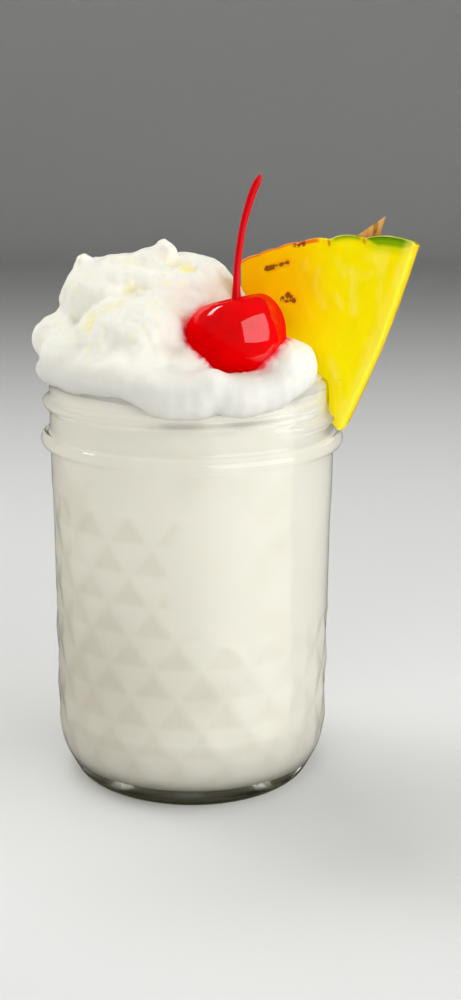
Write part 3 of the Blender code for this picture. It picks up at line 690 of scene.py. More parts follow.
def creamy_liquid(settings):
    """The opaque drink: painted light near its surface and at its foot, painted shade at the lower left and
    behind the diamonds.
    """
    shades = Shades("creamy_liquid")
    tones = shades.tones(shades.place, (55.0, 400.0), (0.45, 0.8), (settings.body, settings.shade))
    side, _, height = shades.axes()
    # Painted light near the surface, under the cream's shade, and at the foot
    tone = shades.mix(shades.ramp(height, 87.0 * MM, 94.0 * MM), tones["Colour"], settings.painted_light)
    tone = shades.mix(shades.ramp(height, 13.0 * MM, 5.0 * MM), tone, settings.painted_light)
    # Painted shade at the lower left of the drink
    low = shades.times(
        shades.ramp(height, 64.0 * MM, 28.0 * MM),
        shades.ramp(height, 4.0 * MM, 24.0 * MM),
        shades.ramp(side, 10.0 * MM, -28.0 * MM),
    )
    tone = shades.mix(low, tone, settings.low)
    # Painted shade on the upper half of each diamond behind the glass
    tone = shades.mix(shades.mark("painted_facet_shade"), tone, settings.painted_facet_shade, blend="MULTIPLY")
    shades.set(Base_Color=tone, Roughness=0.4)
    shades.soften(0.3, (2.0, 1.6, 1.1))
    return shades.material


def whipped_cream(settings):
    """Soft white cream with lemon spots and painted warm shade in its creases, painted shade over the rim,
    and pink where the cherry touches it.
    """
    shades = Shades("whipped_cream_foam")
    # Painted warm shade in the creases, in patches, together with the lemon spots
    patches = shades.ramp(shades.noise(150.0, 2.0), 0.5, 0.68)
    lemon = shades.times(shades.mark("hollow"), patches, 0.3)
    tone = shades.mix(shades.math("MAXIMUM", lemon, shades.mark("lemon")), settings.cream, settings.hollow)
    # Painted shade: the cream darker and cooler towards the rim
    low = shades.ramp(shades.axes()["Z"], 105.0 * MM, 97.5 * MM)
    tone = shades.mix(low, tone, settings.low, blend="MULTIPLY")
    from_cherry = shades.distance(shades.place, CHERRY_PLACE)
    ragged = shades.math("MULTIPLY_ADD", shades.noise(420.0, 4.0), 2.4 * MM, from_cherry)
    stain = shades.math("POWER", shades.ramp(ragged, 12.0 * MM, 15.4 * MM, 1.0, 0.0), 3.5)
    shades.set(Base_Color=shades.mix(stain, tone, settings.stain), Roughness=0.55, Specular_IOR_Level=0.35)
    shades.soften(0.5, (2.6, 2.4, 2.0))
    froth = shades.math("MULTIPLY_ADD", shades.noise(2600.0), 0.4, shades.noise(900.0))
    shades.bump(froth, 0.2, 0.2 * MM)
    return shades.material


def cherry_skin(settings):
    """Wet, glossy skin of two near reds over soft flesh."""
    shades = Shades("glossy_cherry_skin")
    tones = shades.tones(shades.place, (120.0, 900.0), (0.35, 0.8), (settings.skin, settings.deep))
    shades.set(Base_Color=tones["Colour"], Roughness=0.2, Specular_IOR_Level=0.0)
    side, _, height = shades.axes()
    # The wet coat is weaker low down, at both sides and towards the edges, which dims its reflections there
    slanted = shades.math("MULTIPLY_ADD", side, 0.6, height)
    facing = shades.add("ShaderNodeLayerWeight", {"Blend": 0.5}).outputs["Facing"]
    wet = shades.times(
        shades.ramp(facing, 0.4, 0.85, 1.0, 0.3),
        shades.ramp(slanted, 111.0 * MM, 113.3 * MM),
        shades.ramp(side, -1.3 * MM, 3.0 * MM, 0.3),
        shades.ramp(side, 20.0 * MM, 15.0 * MM, 0.15),
    )
    shades.set(Coat_Weight=wet, Coat_Roughness=0.02, Coat_IOR=1.65)
    shades.soften(0.3, (2.5, 0.1, 0.1))
    shades.bump(tones["Height"], 0.04, 0.3 * MM)
    return shades.material


def stem_skin(settings):
    """The stem's dyed red skin, streaked along its length."""
    shades = Shades("dyed_stem")
    tones = shades.tones(shades.streaked(0.12), (700.0, 2200.0), (0.3, 0.8), (settings.stem, settings.deep))
    shades.set(Base_Color=tones["Colour"], Roughness=0.3, Specular_IOR_Level=0.12)
    shades.soften(0.2, (1.0, 0.05, 0.05))
    shades.bump(tones["Height"], 0.15, 0.15 * MM)
    return shades.material


def fibrous_flesh(shades, settings, place, turn, below):
    """Yellow flesh with pale streaks that run out from the wedge's tip, riper at the left near the rind."""
    s, depth, z = place
    tip_s = shades.math("SUBTRACT", s, FIBRE_ROOT[0])
    tip_z = shades.math("SUBTRACT", z, FIBRE_ROOT[1])
    tip_turn = shades.math("ARCTAN2", tip_s, tip_z)
    tip_place = shades.add("ShaderNodeCombineXYZ", {0: tip_s, 2: tip_z}).outputs[0]
    away = shades.times(shades.distance(tip_place, (0.0, 0.0, 0.0)), 3.0)
    along = shades.add("ShaderNodeCombineXYZ", {0: tip_turn, 1: away, 2: depth}).outputs[0]
    tones = shades.tones(along, (12.0, 45.0), (0.52, 0.72), (settings.flesh, settings.fibre))
    patches = shades.ramp(shades.noise(110.0, 2.0), 0.5, 0.66)
    streaks = shades.times(tones["Mask"], patches, 0.45)
    strokes = shades.times(shades.mark("stroke"), shades.ramp(tones["Height"], 0.55, 0.8, 0.15, 0.6))
    flesh = shades.mix(shades.math("MAXIMUM", streaks, strokes), settings.flesh, settings.fibre)
    shades.bump(tones["Height"], 0.12, 0.3 * MM)
    left = shades.ramp(turn, -17.0, -5.0, 1.0, 0.0)
    near_rind = shades.ramp(below, 24.0 * MM, 6.0 * MM, 0.25, 1.0)
    return shades.mix(shades.times(left, near_rind), flesh, settings.ripe)


def rind_colours(shades, settings, tone, turn, below):
    """Under the rind: green at the right, a thin orange skin at the left, brown spots between the eyes."""
    wavy = shades.math("MULTIPLY_ADD", shades.noise(300.0), 0.4 * MM, below)
    # The green lens at the right tapers to its left end, and has a yellow-green halo
    lens = shades.times(shades.ramp(turn, -0.8, 2.8), shades.ramp(turn, 11.5, 7.0))
    under_lens = shades.math("SUBTRACT", wavy, shades.times(lens, 2.3 * MM))
    halo = shades.ramp(under_lens, 2.6 * MM, 0.2 * MM)
    halo = shades.times(halo, shades.ramp(turn, -10.0, -6.0, 0.0, 0.6))
    tone = shades.mix(halo, tone, srgb(190, 204, 10))
    lens = shades.times(lens, shades.ramp(turn, 9.7, 9.3))
    band = shades.times(shades.ramp(under_lens, 0.5 * MM, -0.5 * MM), shades.ramp(lens, 0.05, 0.25))
    thin = shades.times(shades.ramp(turn, -7.0, -5.5), shades.ramp(turn, -0.5, -1.5), 0.75)
    thin = shades.times(shades.ramp(wavy, 1.7 * MM, 0.5 * MM), thin)
    green = shades.mix(shades.ramp(wavy, 0.3 * MM, 1.5 * MM), srgb(78, 120, 8), settings.green)
    tone = shades.mix(shades.math("MAXIMUM", band, thin), tone, green)
    # The skin is a thin orange line at the left, torn in one place
    thick = shades.times(shades.ramp(turn, -13.5, -11.5), 0.5 * MM)
    line = shades.ramp(shades.math("SUBTRACT", wavy, thick), 0.9 * MM, 0.55 * MM)
    line = shades.times(line, shades.ramp(turn, -8.8, -9.8, 0.0, 0.85))
    tone = shades.mix(line, tone, srgb(232, 106, 24))
    torn = shades.times(
        shades.ramp(turn, -15.0, -13.8),
        shades.ramp(turn, -11.6, -12.4),
        shades.ramp(shades.noise(900.0, 2.0), 0.42, 0.56),
        shades.ramp(wavy, 1.7 * MM, 1.2 * MM),
    )
    tone = shades.mix(torn, tone, srgb(150, 52, 34))
    for notch, width, foot, strength in NOTCH_SPOTS:
        near = shades.ramp(shades.apart(turn, notch), width, 0.1)
        spot = shades.times(near, shades.ramp(wavy, foot, foot - 0.5 * MM, 0.0, strength))
        tone = shades.mix(spot, tone, srgb(216, 122, 18))
    corner = shades.times(shades.ramp(turn, 8.9, 9.5), shades.ramp(wavy, 2.4 * MM, 1.6 * MM))
    return shades.mix(corner, tone, srgb(240, 176, 52))


def cut_side_colours(shades, tone, behind):
    """The right cut side: a ragged pale front edge, a pale line down its middle, and painted shade that
    darkens the side behind its front edge and most at its back.
    """
    inside = shades.mark("under_side")
    ragged = shades.math("MULTIPLY_ADD", shades.noise(260.0), -5.0 * MM, inside)
    tone = shades.mix(shades.ramp(ragged, 1.4 * MM, -1.6 * MM, 0.0, 0.5), tone, srgb(255, 236, 90))
    at_side = shades.ramp(inside, 1.3 * MM, 0.5 * MM)
    # Painted shade: the side is darkened behind its front edge, and more at its back
    for part, tint in (
        (shades.ramp(behind, -3.9 * MM, -3.2 * MM, 0.0, 0.9), srgb(240, 203, 6)),
        (shades.ramp(behind, 0.2 * MM, 0.8 * MM, 0.0, 0.8), srgb(204, 158, 12)),
        (shades.ramp(shades.apart(behind, 0.2 * MM), 1.1 * MM, 0.3 * MM, 0.0, 0.7), srgb(246, 222, 88)),
    ):
        tone = shades.mix(shades.times(at_side, part), tone, tint)
    return tone


def pineapple_flesh(settings):
    """Moist yellow flesh with radial fibres, its open eyes, its green edge and its thin skin."""
    shades = Shades("pineapple_flesh_and_rind")
    turned = {"Vector": shades.place, "Rotation": (0.0, 0.0, math.radians(WEDGE_AZIMUTH - 90.0))}
    wedge = shades.add("ShaderNodeMapping", turned, vector_type="TEXTURE").outputs[0]
    s, depth, z = shades.add("ShaderNodeSeparateXYZ", {0: wedge}).outputs
    behind = shades.math("SUBTRACT", depth, WEDGE_SET_BACK)
    below = shades.mark("under_rind")
    from_s = shades.math("SUBTRACT", s, RIND_CENTRE[0])
    from_z = shades.math("SUBTRACT", z, RIND_CENTRE[1])
    turn = shades.times(shades.math("ARCTAN2", from_s, from_z), 180.0 / math.pi)
    tone = fibrous_flesh(shades, settings, (s, depth, z), turn, below)
    tone = rind_colours(shades, settings, tone, turn, below)
    tone = cut_side_colours(shades, tone, behind)
    eye = shades.mark("eye")
    rough_eye = shades.math("MULTIPLY_ADD", shades.noise(900.0, 4.0), 2.4, eye)
    tone = shades.mix(shades.ramp(eye, 0.0, 0.5, 0.0, 0.3), tone, srgb(226, 130, 10))
    tone = shades.mix(shades.ramp(rough_eye, 1.78, 2.05, 0.0, 0.85), tone, srgb(116, 58, 16))
    # The rind itself: pale along its front and back edges, green and brown between them
    from_middle = shades.math("ABSOLUTE", behind)
    pale = shades.ramp(from_middle, 3.2 * MM, 3.7 * MM)
    pale = shades.times(pale, shades.ramp(below, 0.32 * MM, 0.1 * MM, 0.0, 0.7))
    edge_tone = shades.mix(shades.ramp(turn, -10.0, -8.5), srgb(250, 168, 112), srgb(230, 222, 120))
    tone = shades.mix(pale, tone, edge_tone)
    skin = shades.ramp(from_middle, 3.6 * MM, 3.0 * MM)
    skin = shades.times(skin, shades.ramp(below, 0.35 * MM, -0.05 * MM))
    skin_tone = shades.mix(shades.ramp(shades.noise(260.0), 0.4, 0.6), settings.green, settings.brown)
    tone = shades.mix(skin, tone, skin_tone)
    shades.set(Base_Color=tone, Roughness=0.4, Specular_IOR_Level=0.05)
    shades.soften(0.3, (2.6, 1.9, 0.1))
    return shades.material


def dry_leaf():
    """The papery brown leaf tip, streaked along its length."""
    shades = Shades("dry_leaf_tip")
    papery = (srgb(230, 176, 96), srgb(156, 96, 36))
    tones = shades.tones(shades.streaked(0.15), (1000.0, 2600.0), (0.36, 0.7), papery)
    shades.set(Base_Color=tones["Colour"], Roughness=0.6, Specular_IOR_Level=0.1)
    shades.bump(tones["Height"], 0.5, 0.2 * MM)
    return shades.material


def pale_floor(settings):
    """The stage's pale floor."""
    shades = Shades("pale_floor")
    shades.set(Base_Color=settings.floor, Roughness=0.6)
    return shades.material


# Jar


def body_radius(height):
    """Outer radius of the jar's body, rounded in at the heel and slightly wider towards the top."""
    if height < HEEL_HEIGHT:
        rise = math.sin(0.5 * math.pi * height / HEEL_HEIGHT)
        return BASE_RADIUS + (BODY_LOW_RADIUS - BASE_RADIUS) * rise
    part = (height - HEEL_HEIGHT) / (BODY_TOP - HEEL_HEIGHT)
    return BODY_LOW_RADIUS + (BODY_TOP_RADIUS - BODY_LOW_RADIUS) * part


def across_grooves(azimuth, height):
    """How far a point lies between the grooves of each slant, from 0 at one groove to 2 at the next."""
    across = (azimuth - QUILT_TURN) * DIAMONDS_ROUND / 180.0
    up = (height - QUILT_TOP) / (DIAMOND_HEIGHT / 2)
    return (across + up) % 2.0, (across - up) % 2.0


def diamond_level(azimuth, height):
    """1 at a diamond's raised middle, 0 in the grooves round it, with four flat facets between."""
    return 1.0 - max(abs(part - 1.0) for part in across_grooves(azimuth, height))


def upper_facet_shade(azimuth, height):
    """Where the painted facet shade falls: 1 on the upper half of each diamond, fading to its edges and to
    the right, 0 on its lower half.
    """
    if not QUILT_BOTTOM < height < QUILT_TOP:
        return 0.0
    rising, falling = across_grooves(azimuth, height)
    above = (rising - falling) / 2
    shade_share = 1.0 - panel_cover(azimuth, height)
    shade_share *= smoothstep(QUILT_BOTTOM, QUILT_BOTTOM + FACET_FADE_UP, height)
    shade_share *= 1.0 - FACET_FADE_SHARE * smoothstep(*FACET_FADE, azimuth)
    return shade_share * smoothstep(-0.05, 0.15, above) * smoothstep(0.0, 0.3, diamond_level(azimuth, height))


def panel_cover(azimuth, height):
    """1 on the bare panels, 0 on the quilting."""
    cover = 0.0
    for middle in PANEL_AZIMUTHS:
        turn = abs((azimuth - middle + 180.0) % 360.0 - 180.0) / PANEL_HALF_TURN
        rise = max((PANEL_MIDDLE - height) / PANEL_HALF_HEIGHT, (height - PANEL_MIDDLE) / PANEL_REACH_UP)
        edge = (turn**PANEL_SQUARENESS + rise**PANEL_SQUARENESS) ** (1.0 / PANEL_SQUARENESS)
        cover = max(cover, 1.0 - smoothstep(*PANEL_EDGE, edge))
    return cover


def quilting(azimuth, height, depth):
    """How far the quilted wall lies inside the body's plain outline. The panels rise to it at their top."""
    if not QUILT_BOTTOM < height < QUILT_TOP:
        return 0.0
    fade = smoothstep(QUILT_BOTTOM, QUILT_FULL_FROM, height)
    fade *= smoothstep(QUILT_TOP, QUILT_TOP - QUILT_FADE_TOP, height)
    cover = panel_cover(azimuth, height)
    bare = PANEL_LEVEL + (1.0 - PANEL_LEVEL) * smoothstep(PANEL_RISE_FROM, QUILT_TOP, height)
    level = (1.0 - cover) * diamond_level(azimuth, height) + cover * bare
    return depth * fade * (1.0 - level)


def thread_height(azimuth, height):
    """How far the screw thread stands out of the neck. Its lower flank is the gentler one."""
    out = 0.0
    for turn in (azimuth - 360.0, azimuth, azimuth + 360.0):
        if not THREAD_START < turn < THREAD_END:
            continue
        full = smoothstep(0.0, THREAD_TAPER, min(turn - THREAD_START, THREAD_END - turn))
        half = THREAD_HALF_HEIGHT * (0.5 + 0.5 * full)
        off = (height - THREAD_MIDDLE - THREAD_LEAD * turn / 360.0) / half
        reach = smoothstep(*UPPER_FLANK, off) if off > 0.0 else smoothstep(*LOWER_FLANK, -off)
        out = max(out, (THREAD_RADIUS - NECK_RADIUS) * full * (1.0 - reach))
    return out


def evenly(low, high, step):
    """Heights from low to high, about step apart."""
    count = max(1, round(abs(high - low) / step))
    return [low + (high - low) * i / count for i in range(count + 1)]


def inner_heel(into=0.0):
    """The hollow's rounded lower corner, from the wall down to the flat floor."""
    half_width = INNER_BODY_RADIUS - INNER_FLOOR_RADIUS + into
    half_height = INNER_HEEL_TOP - INNER_FLOOR + into
    return arc((INNER_FLOOR_RADIUS, INNER_HEEL_TOP), half_width, half_height, 0.0, -90.0, 24)


def lip():
    """The rounded lip, from its outer side over to its inner side."""
    middle = (NECK_RADIUS + INNER_NECK_RADIUS) / 2
    return arc((middle, RIM_START), NECK_RADIUS - middle, RIM_TOP - RIM_START, 0.0, 180.0, 20)


def upright(radius, low, high, step):
    """Points of an upright wall."""
    return [(radius, height) for height in evenly(low, high, step)]


def jar_outline(settings):
    """The jar's section as (radius, height), from the base's middle over the lip to the floor's middle."""
    outline = [(radius * MM, share * settings.base_hollow) for radius, share in FOOT_HOLLOW]
    outline += [(radius * MM, height * MM) for radius, height in FOOT_CORNER]
    step = DIAMOND_HEIGHT / settings.segments
    start = QUILT_TOP - step * math.floor((QUILT_TOP - 0.4 * MM) / step)
    body = evenly(start, QUILT_TOP, step) + evenly(QUILT_TOP + 0.7 * MM, BODY_TOP - 0.3 * MM, 1.2 * MM)
    outline += [(body_radius(height), height) for height in body]
    outline += arc((NECK_RADIUS, BEAD_MIDDLE), BEAD_RADIUS - NECK_RADIUS, BEAD_HALF_HEIGHT, -84.0, 84.0, 22)
    outline += upright(NECK_RADIUS, NECK_FOOT, RIM_START - 0.3 * MM, 0.3 * MM)
    outline += lip()
    outline += upright(INNER_NECK_RADIUS, RIM_START - 1.0 * MM, INNER_SHOULDER, 3.0 * MM)
    outline += upright(INNER_BODY_RADIUS, INNER_SHOULDER - 3.0 * MM, INNER_HEEL_TOP + 1.0 * MM, 4.0 * MM)
    outline += inner_heel()
    outline.append((0.0, INNER_FLOOR))
    return outline


class BuildJar(bpy.types.Operator):
    """Spin the jar's glass from its outline, then press diamonds and a screw thread into its wall."""

    bl_idname = "iced_drink.build_jar"
    bl_label = "Build the glass jar"

    def execute(self, context):
        settings = context.scene.iced_drink_jar
        jar = spin_outline("glass_jar", jar_outline(settings), DIAMONDS_ROUND * settings.segments)
        for vert in jar.data.vertices:
            radius = math.hypot(vert.co.x, vert.co.y)
            if radius < INNER_BODY_RADIUS + 1.0 * MM and vert.co.z > HEEL_HEIGHT or radius < BASE_RADIUS:
                continue
            azimuth = azimuth_of(vert.co)
            moved = radius - quilting(azimuth, vert.co.z, settings.diamond_depth)
            if NECK_FOOT < vert.co.z < RIM_START:
                moved += thread_height(azimuth, vert.co.z)
            vert.co.x *= moved / radius
            vert.co.y *= moved / radius
        complete(jar, "jar", clear_glass(settings))
        return {"FINISHED"}


class BuildDrink(bpy.types.Operator):
    """Spin the drink that fills the jar. It reaches just into the glass."""

    bl_idname = "iced_drink.build_drink"
    bl_label = "Build the drink"

    def execute(self, context):
        settings = context.scene.iced_drink_drink
        outline = [(0.0, settings.level), (INNER_NECK_RADIUS - 1.5 * MM, settings.level)]
        wall = INNER_NECK_RADIUS + INTO_WALL
        edge = 0.6 * MM
        outline += arc((wall - edge, settings.level - edge), edge, edge, 90.0, 0.0, 5)
        outline += upright(wall, settings.level - 2.0 * MM, QUILT_TOP, 2.0 * MM)
        outline += upright(wall, QUILT_TOP - 0.45 * MM, INNER_HEEL_TOP, 0.45 * MM)
        outline += inner_heel(INTO_WALL)[1:]
        outline.append((0.0, INNER_FLOOR - INTO_WALL))
        drink = spin_outline("creamy_drink", outline, DIAMONDS_ROUND * COLUMNS_A_DIAMOND)
        for vert, shade_share in zip(drink.data.vertices, *float_marks(drink.data, ("painted_facet_shade",))):
            radius = math.hypot(vert.co.x, vert.co.y)
            if radius < INNER_FLOOR_RADIUS:
                continue
            # Mark where the painted facet shade falls on the drink
            shade_share.value = upper_facet_shade(azimuth_of(vert.co), vert.co.z + SEEN_LOWER)
            lens = quilting(azimuth_of(vert.co), vert.co.z, settings.relief)
            vert.co.x *= (radius + lens) / radius
            vert.co.y *= (radius + lens) / radius
        complete(drink, "drink", creamy_liquid(settings))
        return {"FINISHED"}


# Cream


def collar_edge(azimuth):
    """Height of the band's lower edge: it hangs in two lobes at the front, and a little at the left."""
    droop = smoothstep(*COLLAR_DROOP_FROM, azimuth) * (1.0 - smoothstep(*COLLAR_DROOP_TO, azimuth))
    notch = near_azimuth(azimuth, COLLAR_NOTCH_AZIMUTH, COLLAR_NOTCH_WIDTH)
    left = near_azimuth(azimuth, COLLAR_LEFT_AZIMUTH, COLLAR_LEFT_WIDTH)
    return COLLAR_EDGE - COLLAR_DROOP * droop + COLLAR_NOTCH * notch - COLLAR_LEFT * left


def collar_dollops():
    """Places, half sizes and turns of the lobes over the rim, from one side of the wedge to the other."""
    lobes = []
    for step in range(COLLAR_STEPS + 1):
        along = COLLAR_FROM + (COLLAR_TO - COLLAR_FROM) * step / COLLAR_STEPS
        azimuth = (along + 180.0) % 360.0 - 180.0
        uneven = noise.noise(at_azimuth(COLLAR_UNEVEN_SCALE, azimuth, 0.0))
        full = smoothstep(0.0, COLLAR_TAPER, min(along - COLLAR_FROM, COLLAR_TO - along))
        size = (COLLAR_END_SIZE + (1.0 - COLLAR_END_SIZE) * full) * (1.0 + COLLAR_UNEVEN_SIZE * uneven)
        radii = [side * size for side in COLLAR_LOBE]
        radii[2] -= COLLAR_LEFT * near_azimuth(azimuth, COLLAR_LEFT_AZIMUTH, COLLAR_LEFT_WIDTH)
        height = collar_edge(azimuth) + 0.5 * radii[2] - COLLAR_UNEVEN * uneven
        lobes.append((at_azimuth(COLLAR_RADIUS, azimuth, height), radii, math.radians(azimuth)))
    return lobes


def roughness_at(point):
    """How crumbly the cream is: most at the upper left, hardly over the rim."""
    rough = smoothstep(101.0 * MM, 109.0 * MM, point.z)
    return rough * (1.0 - 0.6 * smoothstep(-4.0 * MM, 8.0 * MM, point.x))


def curds(point, size):
    """0 in the creases between rounded curds, 1 on top of them."""
    bent = point / size + 0.35 * noise.noise_vector(point / (1.7 * size))
    near = noise.voronoi(bent)[0]
    return smoothstep(0.0, 0.4, near[1] - near[0])


def contact_height(turn):
    """Height at which the cream meets the cherry, by the turn round it from the front, -pi to pi."""
    left = CONTACT_LEFT * smoothstep(*CONTACT_LEFT_TURNS, -turn)
    return CONTACT_FRONT + CONTACT_RISE * (1.0 - math.cos(turn)) + left


def cherry_girth(height):
    """Radius of the cherry at a height."""
    part = (height - CHERRY_PLACE.z) / CHERRY_HALF_HEIGHT
    return CHERRY_RADIUS * math.sqrt(max(1.0 - part * part, 0.0))


def nest_dollops():
    """Small lumps of cream pressed up round the lower half of the cherry: places, half sizes and turns."""
    lumps = []
    for lump in range(NEST_LUMPS):
        turn = 2.0 * math.pi * (lump + 0.5) / NEST_LUMPS - math.pi
        radius = NEST_LUMP * (1.0 + 0.25 * noise.noise(Vector((lump * 3.1, 7.7, 0.0))))
        height = contact_height(turn) - 0.8 * radius
        reach = cherry_girth(height) + 0.45 * radius
        place = CHERRY_PLACE + Vector((reach * math.sin(turn), -reach * math.cos(turn), 0.0))
        place.z = height
        lumps.append((place, (radius, radius, radius), 0.0))
    return lumps


def segment_distance(point, start, end):
    """Distance from a point to a short line."""
    along = Vector(end) - Vector(start)
    t = min(max((Vector(point) - Vector(start)).dot(along) / along.length_squared, 0.0), 1.0)
    return (Vector(point) - Vector(start) - along * t).length


def lemon_at(point):
    """1 in the middle of a soft lemon hollow, 0 away from them all."""
    deep = 0.0
    for start, end, reach, strength in LEMON_CREASES:
        apart = segment_distance(point / MM, start, end)
        apart += 0.5 * reach * noise.noise(point / (1.4 * MM))
        deep = max(deep, strength * (1.0 - smoothstep(0.0, 1.5 * reach, apart)))
    return deep


def band_crease(point):
    """Depth of the soft upright creases in the band over the rim."""
    azimuth = azimuth_of(point)
    low = 1.0 - smoothstep(99.0 * MM, 105.0 * MM, point.z)
    return low * sum(depth * near_azimuth(azimuth, middle, width) for middle, width, depth in BAND_CREASES)


def crumble(mesh, settings):
    """Move the cream's points into folds, curds and crumbs, and mark its creases for painted warm shade and
    where its lemon spots lie.
    """
    normals = [vert.normal.copy() for vert in mesh.vertices]
    for vert, normal, depth, yellow in zip(mesh.vertices, normals, *float_marks(mesh, ("hollow", "lemon"))):
        point = vert.co
        rough = roughness_at(point)
        upper = smoothstep(99.0 * MM, 106.0 * MM, point.z)
        crumbly = 0.3 + 0.7 * rough
        coarse = noise.noise(point / CRUMB_SIZE) * settings.crumb_depth * crumbly
        fold = noise.noise(Vector((point.x / FOLD_SIZE, point.y / FOLD_SIZE, point.z / FOLD_TALL)))
        coarse += FOLD_DEPTH * fold * upper
        fine = noise.noise(point / FINE_CRUMB_SIZE) * settings.fine_crumb_depth * crumbly
        crease = (1.0 - curds(point, CREASED_CURD)) * rough
        small = (1.0 - curds(point + SMALL_CURD_SHIFT, SMALL_CURD)) * (0.1 + 0.9 * rough)
        near_cherry = 1.0 - smoothstep(0.6 * MM, 2.6 * MM, (point - CHERRY_PLACE).length - CHERRY_RADIUS)
        crumbs = noise.noise(point / CHERRY_CRUMB_SIZE) * CHERRY_CRUMB_DEPTH * near_cherry
        yellow.value = lemon_at(point)
        # The crease mark is for painted warm shade
        depth.value = crease**1.5
        dent = CREASE_DEPTH * crease + SMALL_CREASE_DEPTH * small
        dent += LEMON_DENT * yellow.value
        dent += band_crease(point)
        vert.co += normal * (coarse + fine + crumbs - dent)


def neck_cutter(name, inner, outer, grow, tuck=0.0):
    """The glass neck as a ring, to cut what stands over the rim. The tuck leaves more under the lip."""
    outline = [(inner, CUTTER_FOOT), (inner, RIM_START)]
    middle = (inner + outer - tuck) / 2
    half_width = (outer - tuck - inner) / 2
    outline += arc((middle, RIM_START), half_width, RIM_TOP - RIM_START + grow, 180.0, 0.0, 12)[1:]
    outline += [(outer, RIM_START - 3.5 * MM), (outer, NECK_FOOT)]
    bead = BEAD_RADIUS - NECK_RADIUS + grow
    outline += arc((NECK_RADIUS, BEAD_MIDDLE), bead, BEAD_HALF_HEIGHT + grow, 80.0, -80.0, 12)
    outline.append((outer, CUTTER_FOOT))
    return spin_outline(name, outline, CUTTER_STEPS, ring=True)


class BuildCream(bpy.types.Operator):
    """Heap up spoonfuls of whipped cream, melt them into one skin, crumble it and seat it on the rim."""

    bl_idname = "iced_drink.build_cream"
    bl_label = "Build the whipped cream"

    def execute(self, context):
        settings = context.scene.iced_drink_cream
        deselect_all()
        dollops = [([c * MM for c in place], [r * MM for r in radii], 0.0) for place, radii in DOLLOPS]
        spoonfuls = []
        for place, radii, turn in dollops + collar_dollops() + nest_dollops():
            bpy.ops.mesh.primitive_ico_sphere_add(
                subdivisions=4, radius=1.0, location=place, rotation=(0.0, 0.0, turn), scale=radii
            )
            spoonfuls.append(context.object)
        for spoonful in spoonfuls:
            spoonful.select_set(True)
        bpy.ops.object.join()
        cream = context.object
        cream.name = "heaped_cream"
        bpy.ops.object.transform_apply(location=True, rotation=True, scale=True)
        add_modifier(cream, "REMESH", mode="VOXEL", voxel_size=settings.detail)
        add_modifier(cream, "SMOOTH", factor=0.5, iterations=30)
        crumble(cream.data, settings)
        outer = NECK_RADIUS - 0.1 * MM
        cut_with(cream, neck_cutter("neck_cutter", INNER_NECK_RADIUS + INTO_WALL, outer, -0.1 * MM))
        add_modifier(cream, "SMOOTH", factor=0.3, iterations=1)
        complete(cream, "whipped_cream", whipped_cream(settings))
        return {"FINISHED"}


# Cherry


def cherry_lean():
    """How the cherry leans."""
    return Matrix.Rotation(CHERRY_LEAN[1], 3, "Y") @ Matrix.Rotation(CHERRY_LEAN[0], 3, "X")


class BuildCherry(bpy.types.Operator):
    """Press a dimple into a sphere for the cherry, and sweep its stem along a curve."""

    bl_idname = "iced_drink.build_cherry"
    bl_label = "Build the cherry and its stem"

    def execute(self, context):
        settings = context.scene.iced_drink_cherry
        self.build_fruit(context, settings)
        self.build_stem(context, settings)
        return {"FINISHED"}

    def build_fruit(self, context, settings):
        """The fruit, higher at its right shoulder, leant towards the back left."""
        deselect_all()
        bpy.ops.mesh.primitive_uv_sphere_add(segments=CHERRY_SEGMENTS, ring_count=CHERRY_RINGS, radius=1.0)
        cherry = context.object
        cherry.name = "cherry_fruit"
        lean = cherry_lean()
        for vert in cherry.data.vertices:
            slope = math.acos(min(max(vert.co.z, -1.0), 1.0))
            dimple = CHERRY_DIMPLE * math.exp(-((slope / CHERRY_DIMPLE_WIDTH) ** 2))
            broad = 1.0 + CHERRY_BROAD * math.sin(slope) * math.cos(slope)
            shoulder = CHERRY_SHOULDER * vert.co.x * max(vert.co.z, 0.0)
            soft = 1.0 + CHERRY_UNEVEN * noise.noise(vert.co * 1.7)
            point = Vector(vert.co)
            point.x *= settings.radius * broad * soft
            point.y *= settings.radius * broad * soft
            point.z = (point.z - dimple + shoulder) * CHERRY_HALF_HEIGHT * soft
            vert.co = CHERRY_PLACE + lean @ point
        complete(cherry, "cherry", cherry_skin(settings))

    def build_stem(self, context, settings):
        """The stem, flared at its foot and narrow at its cut tip."""
        deselect_all()
        foot = CHERRY_PLACE + cherry_lean() @ Vector((0.0, 0.0, (1.0 - CHERRY_DIMPLE) * CHERRY_HALF_HEIGHT))
        foot += Vector((STEM_ASIDE, 0.0, -0.1 * MM))
        rise = STEM_TIP - foot
        curve = bpy.data.curves.new("stem_path", "CURVE")
        curve.dimensions = "3D"
        curve.bevel_depth = settings.stem_radius
        curve.bevel_resolution = 6
        curve.use_fill_caps = True
        spline = curve.splines.new("POLY")
        spline.points.add(STEM_STEPS)
        for step in range(STEM_STEPS + 1):
            t = step / STEM_STEPS
            wave = 0.12 * MM * noise.noise(Vector((t * 5.0, 0.7, 0.0)))
            point = foot + Vector((rise.x * t**STEM_BEND + wave, rise.y * t, rise.z * t))
            spline.points[step].co = (*point, 1.0)
            flare = 0.55 * (1.0 - smoothstep(0.0, 0.26, t)) + 0.12 * smoothstep(0.6, 0.9, t)
            thin = 0.55 * smoothstep(0.94, 1.0, t)
            knobbly = noise.noise(Vector((t * 9.0, 3.1, 0.0)))
            spline.points[step].radius = 1.0 + flare - thin + 0.05 * knobbly
        stem = bpy.data.objects.new("cherry_stalk", curve)
        context.scene.collection.objects.link(stem)
        activate(stem)
        bpy.ops.object.convert(target="MESH")
        stem = context.object
        edit(stem)
        close_edit()
        complete(stem, "cherry_stem", stem_skin(settings))


# Pineapple


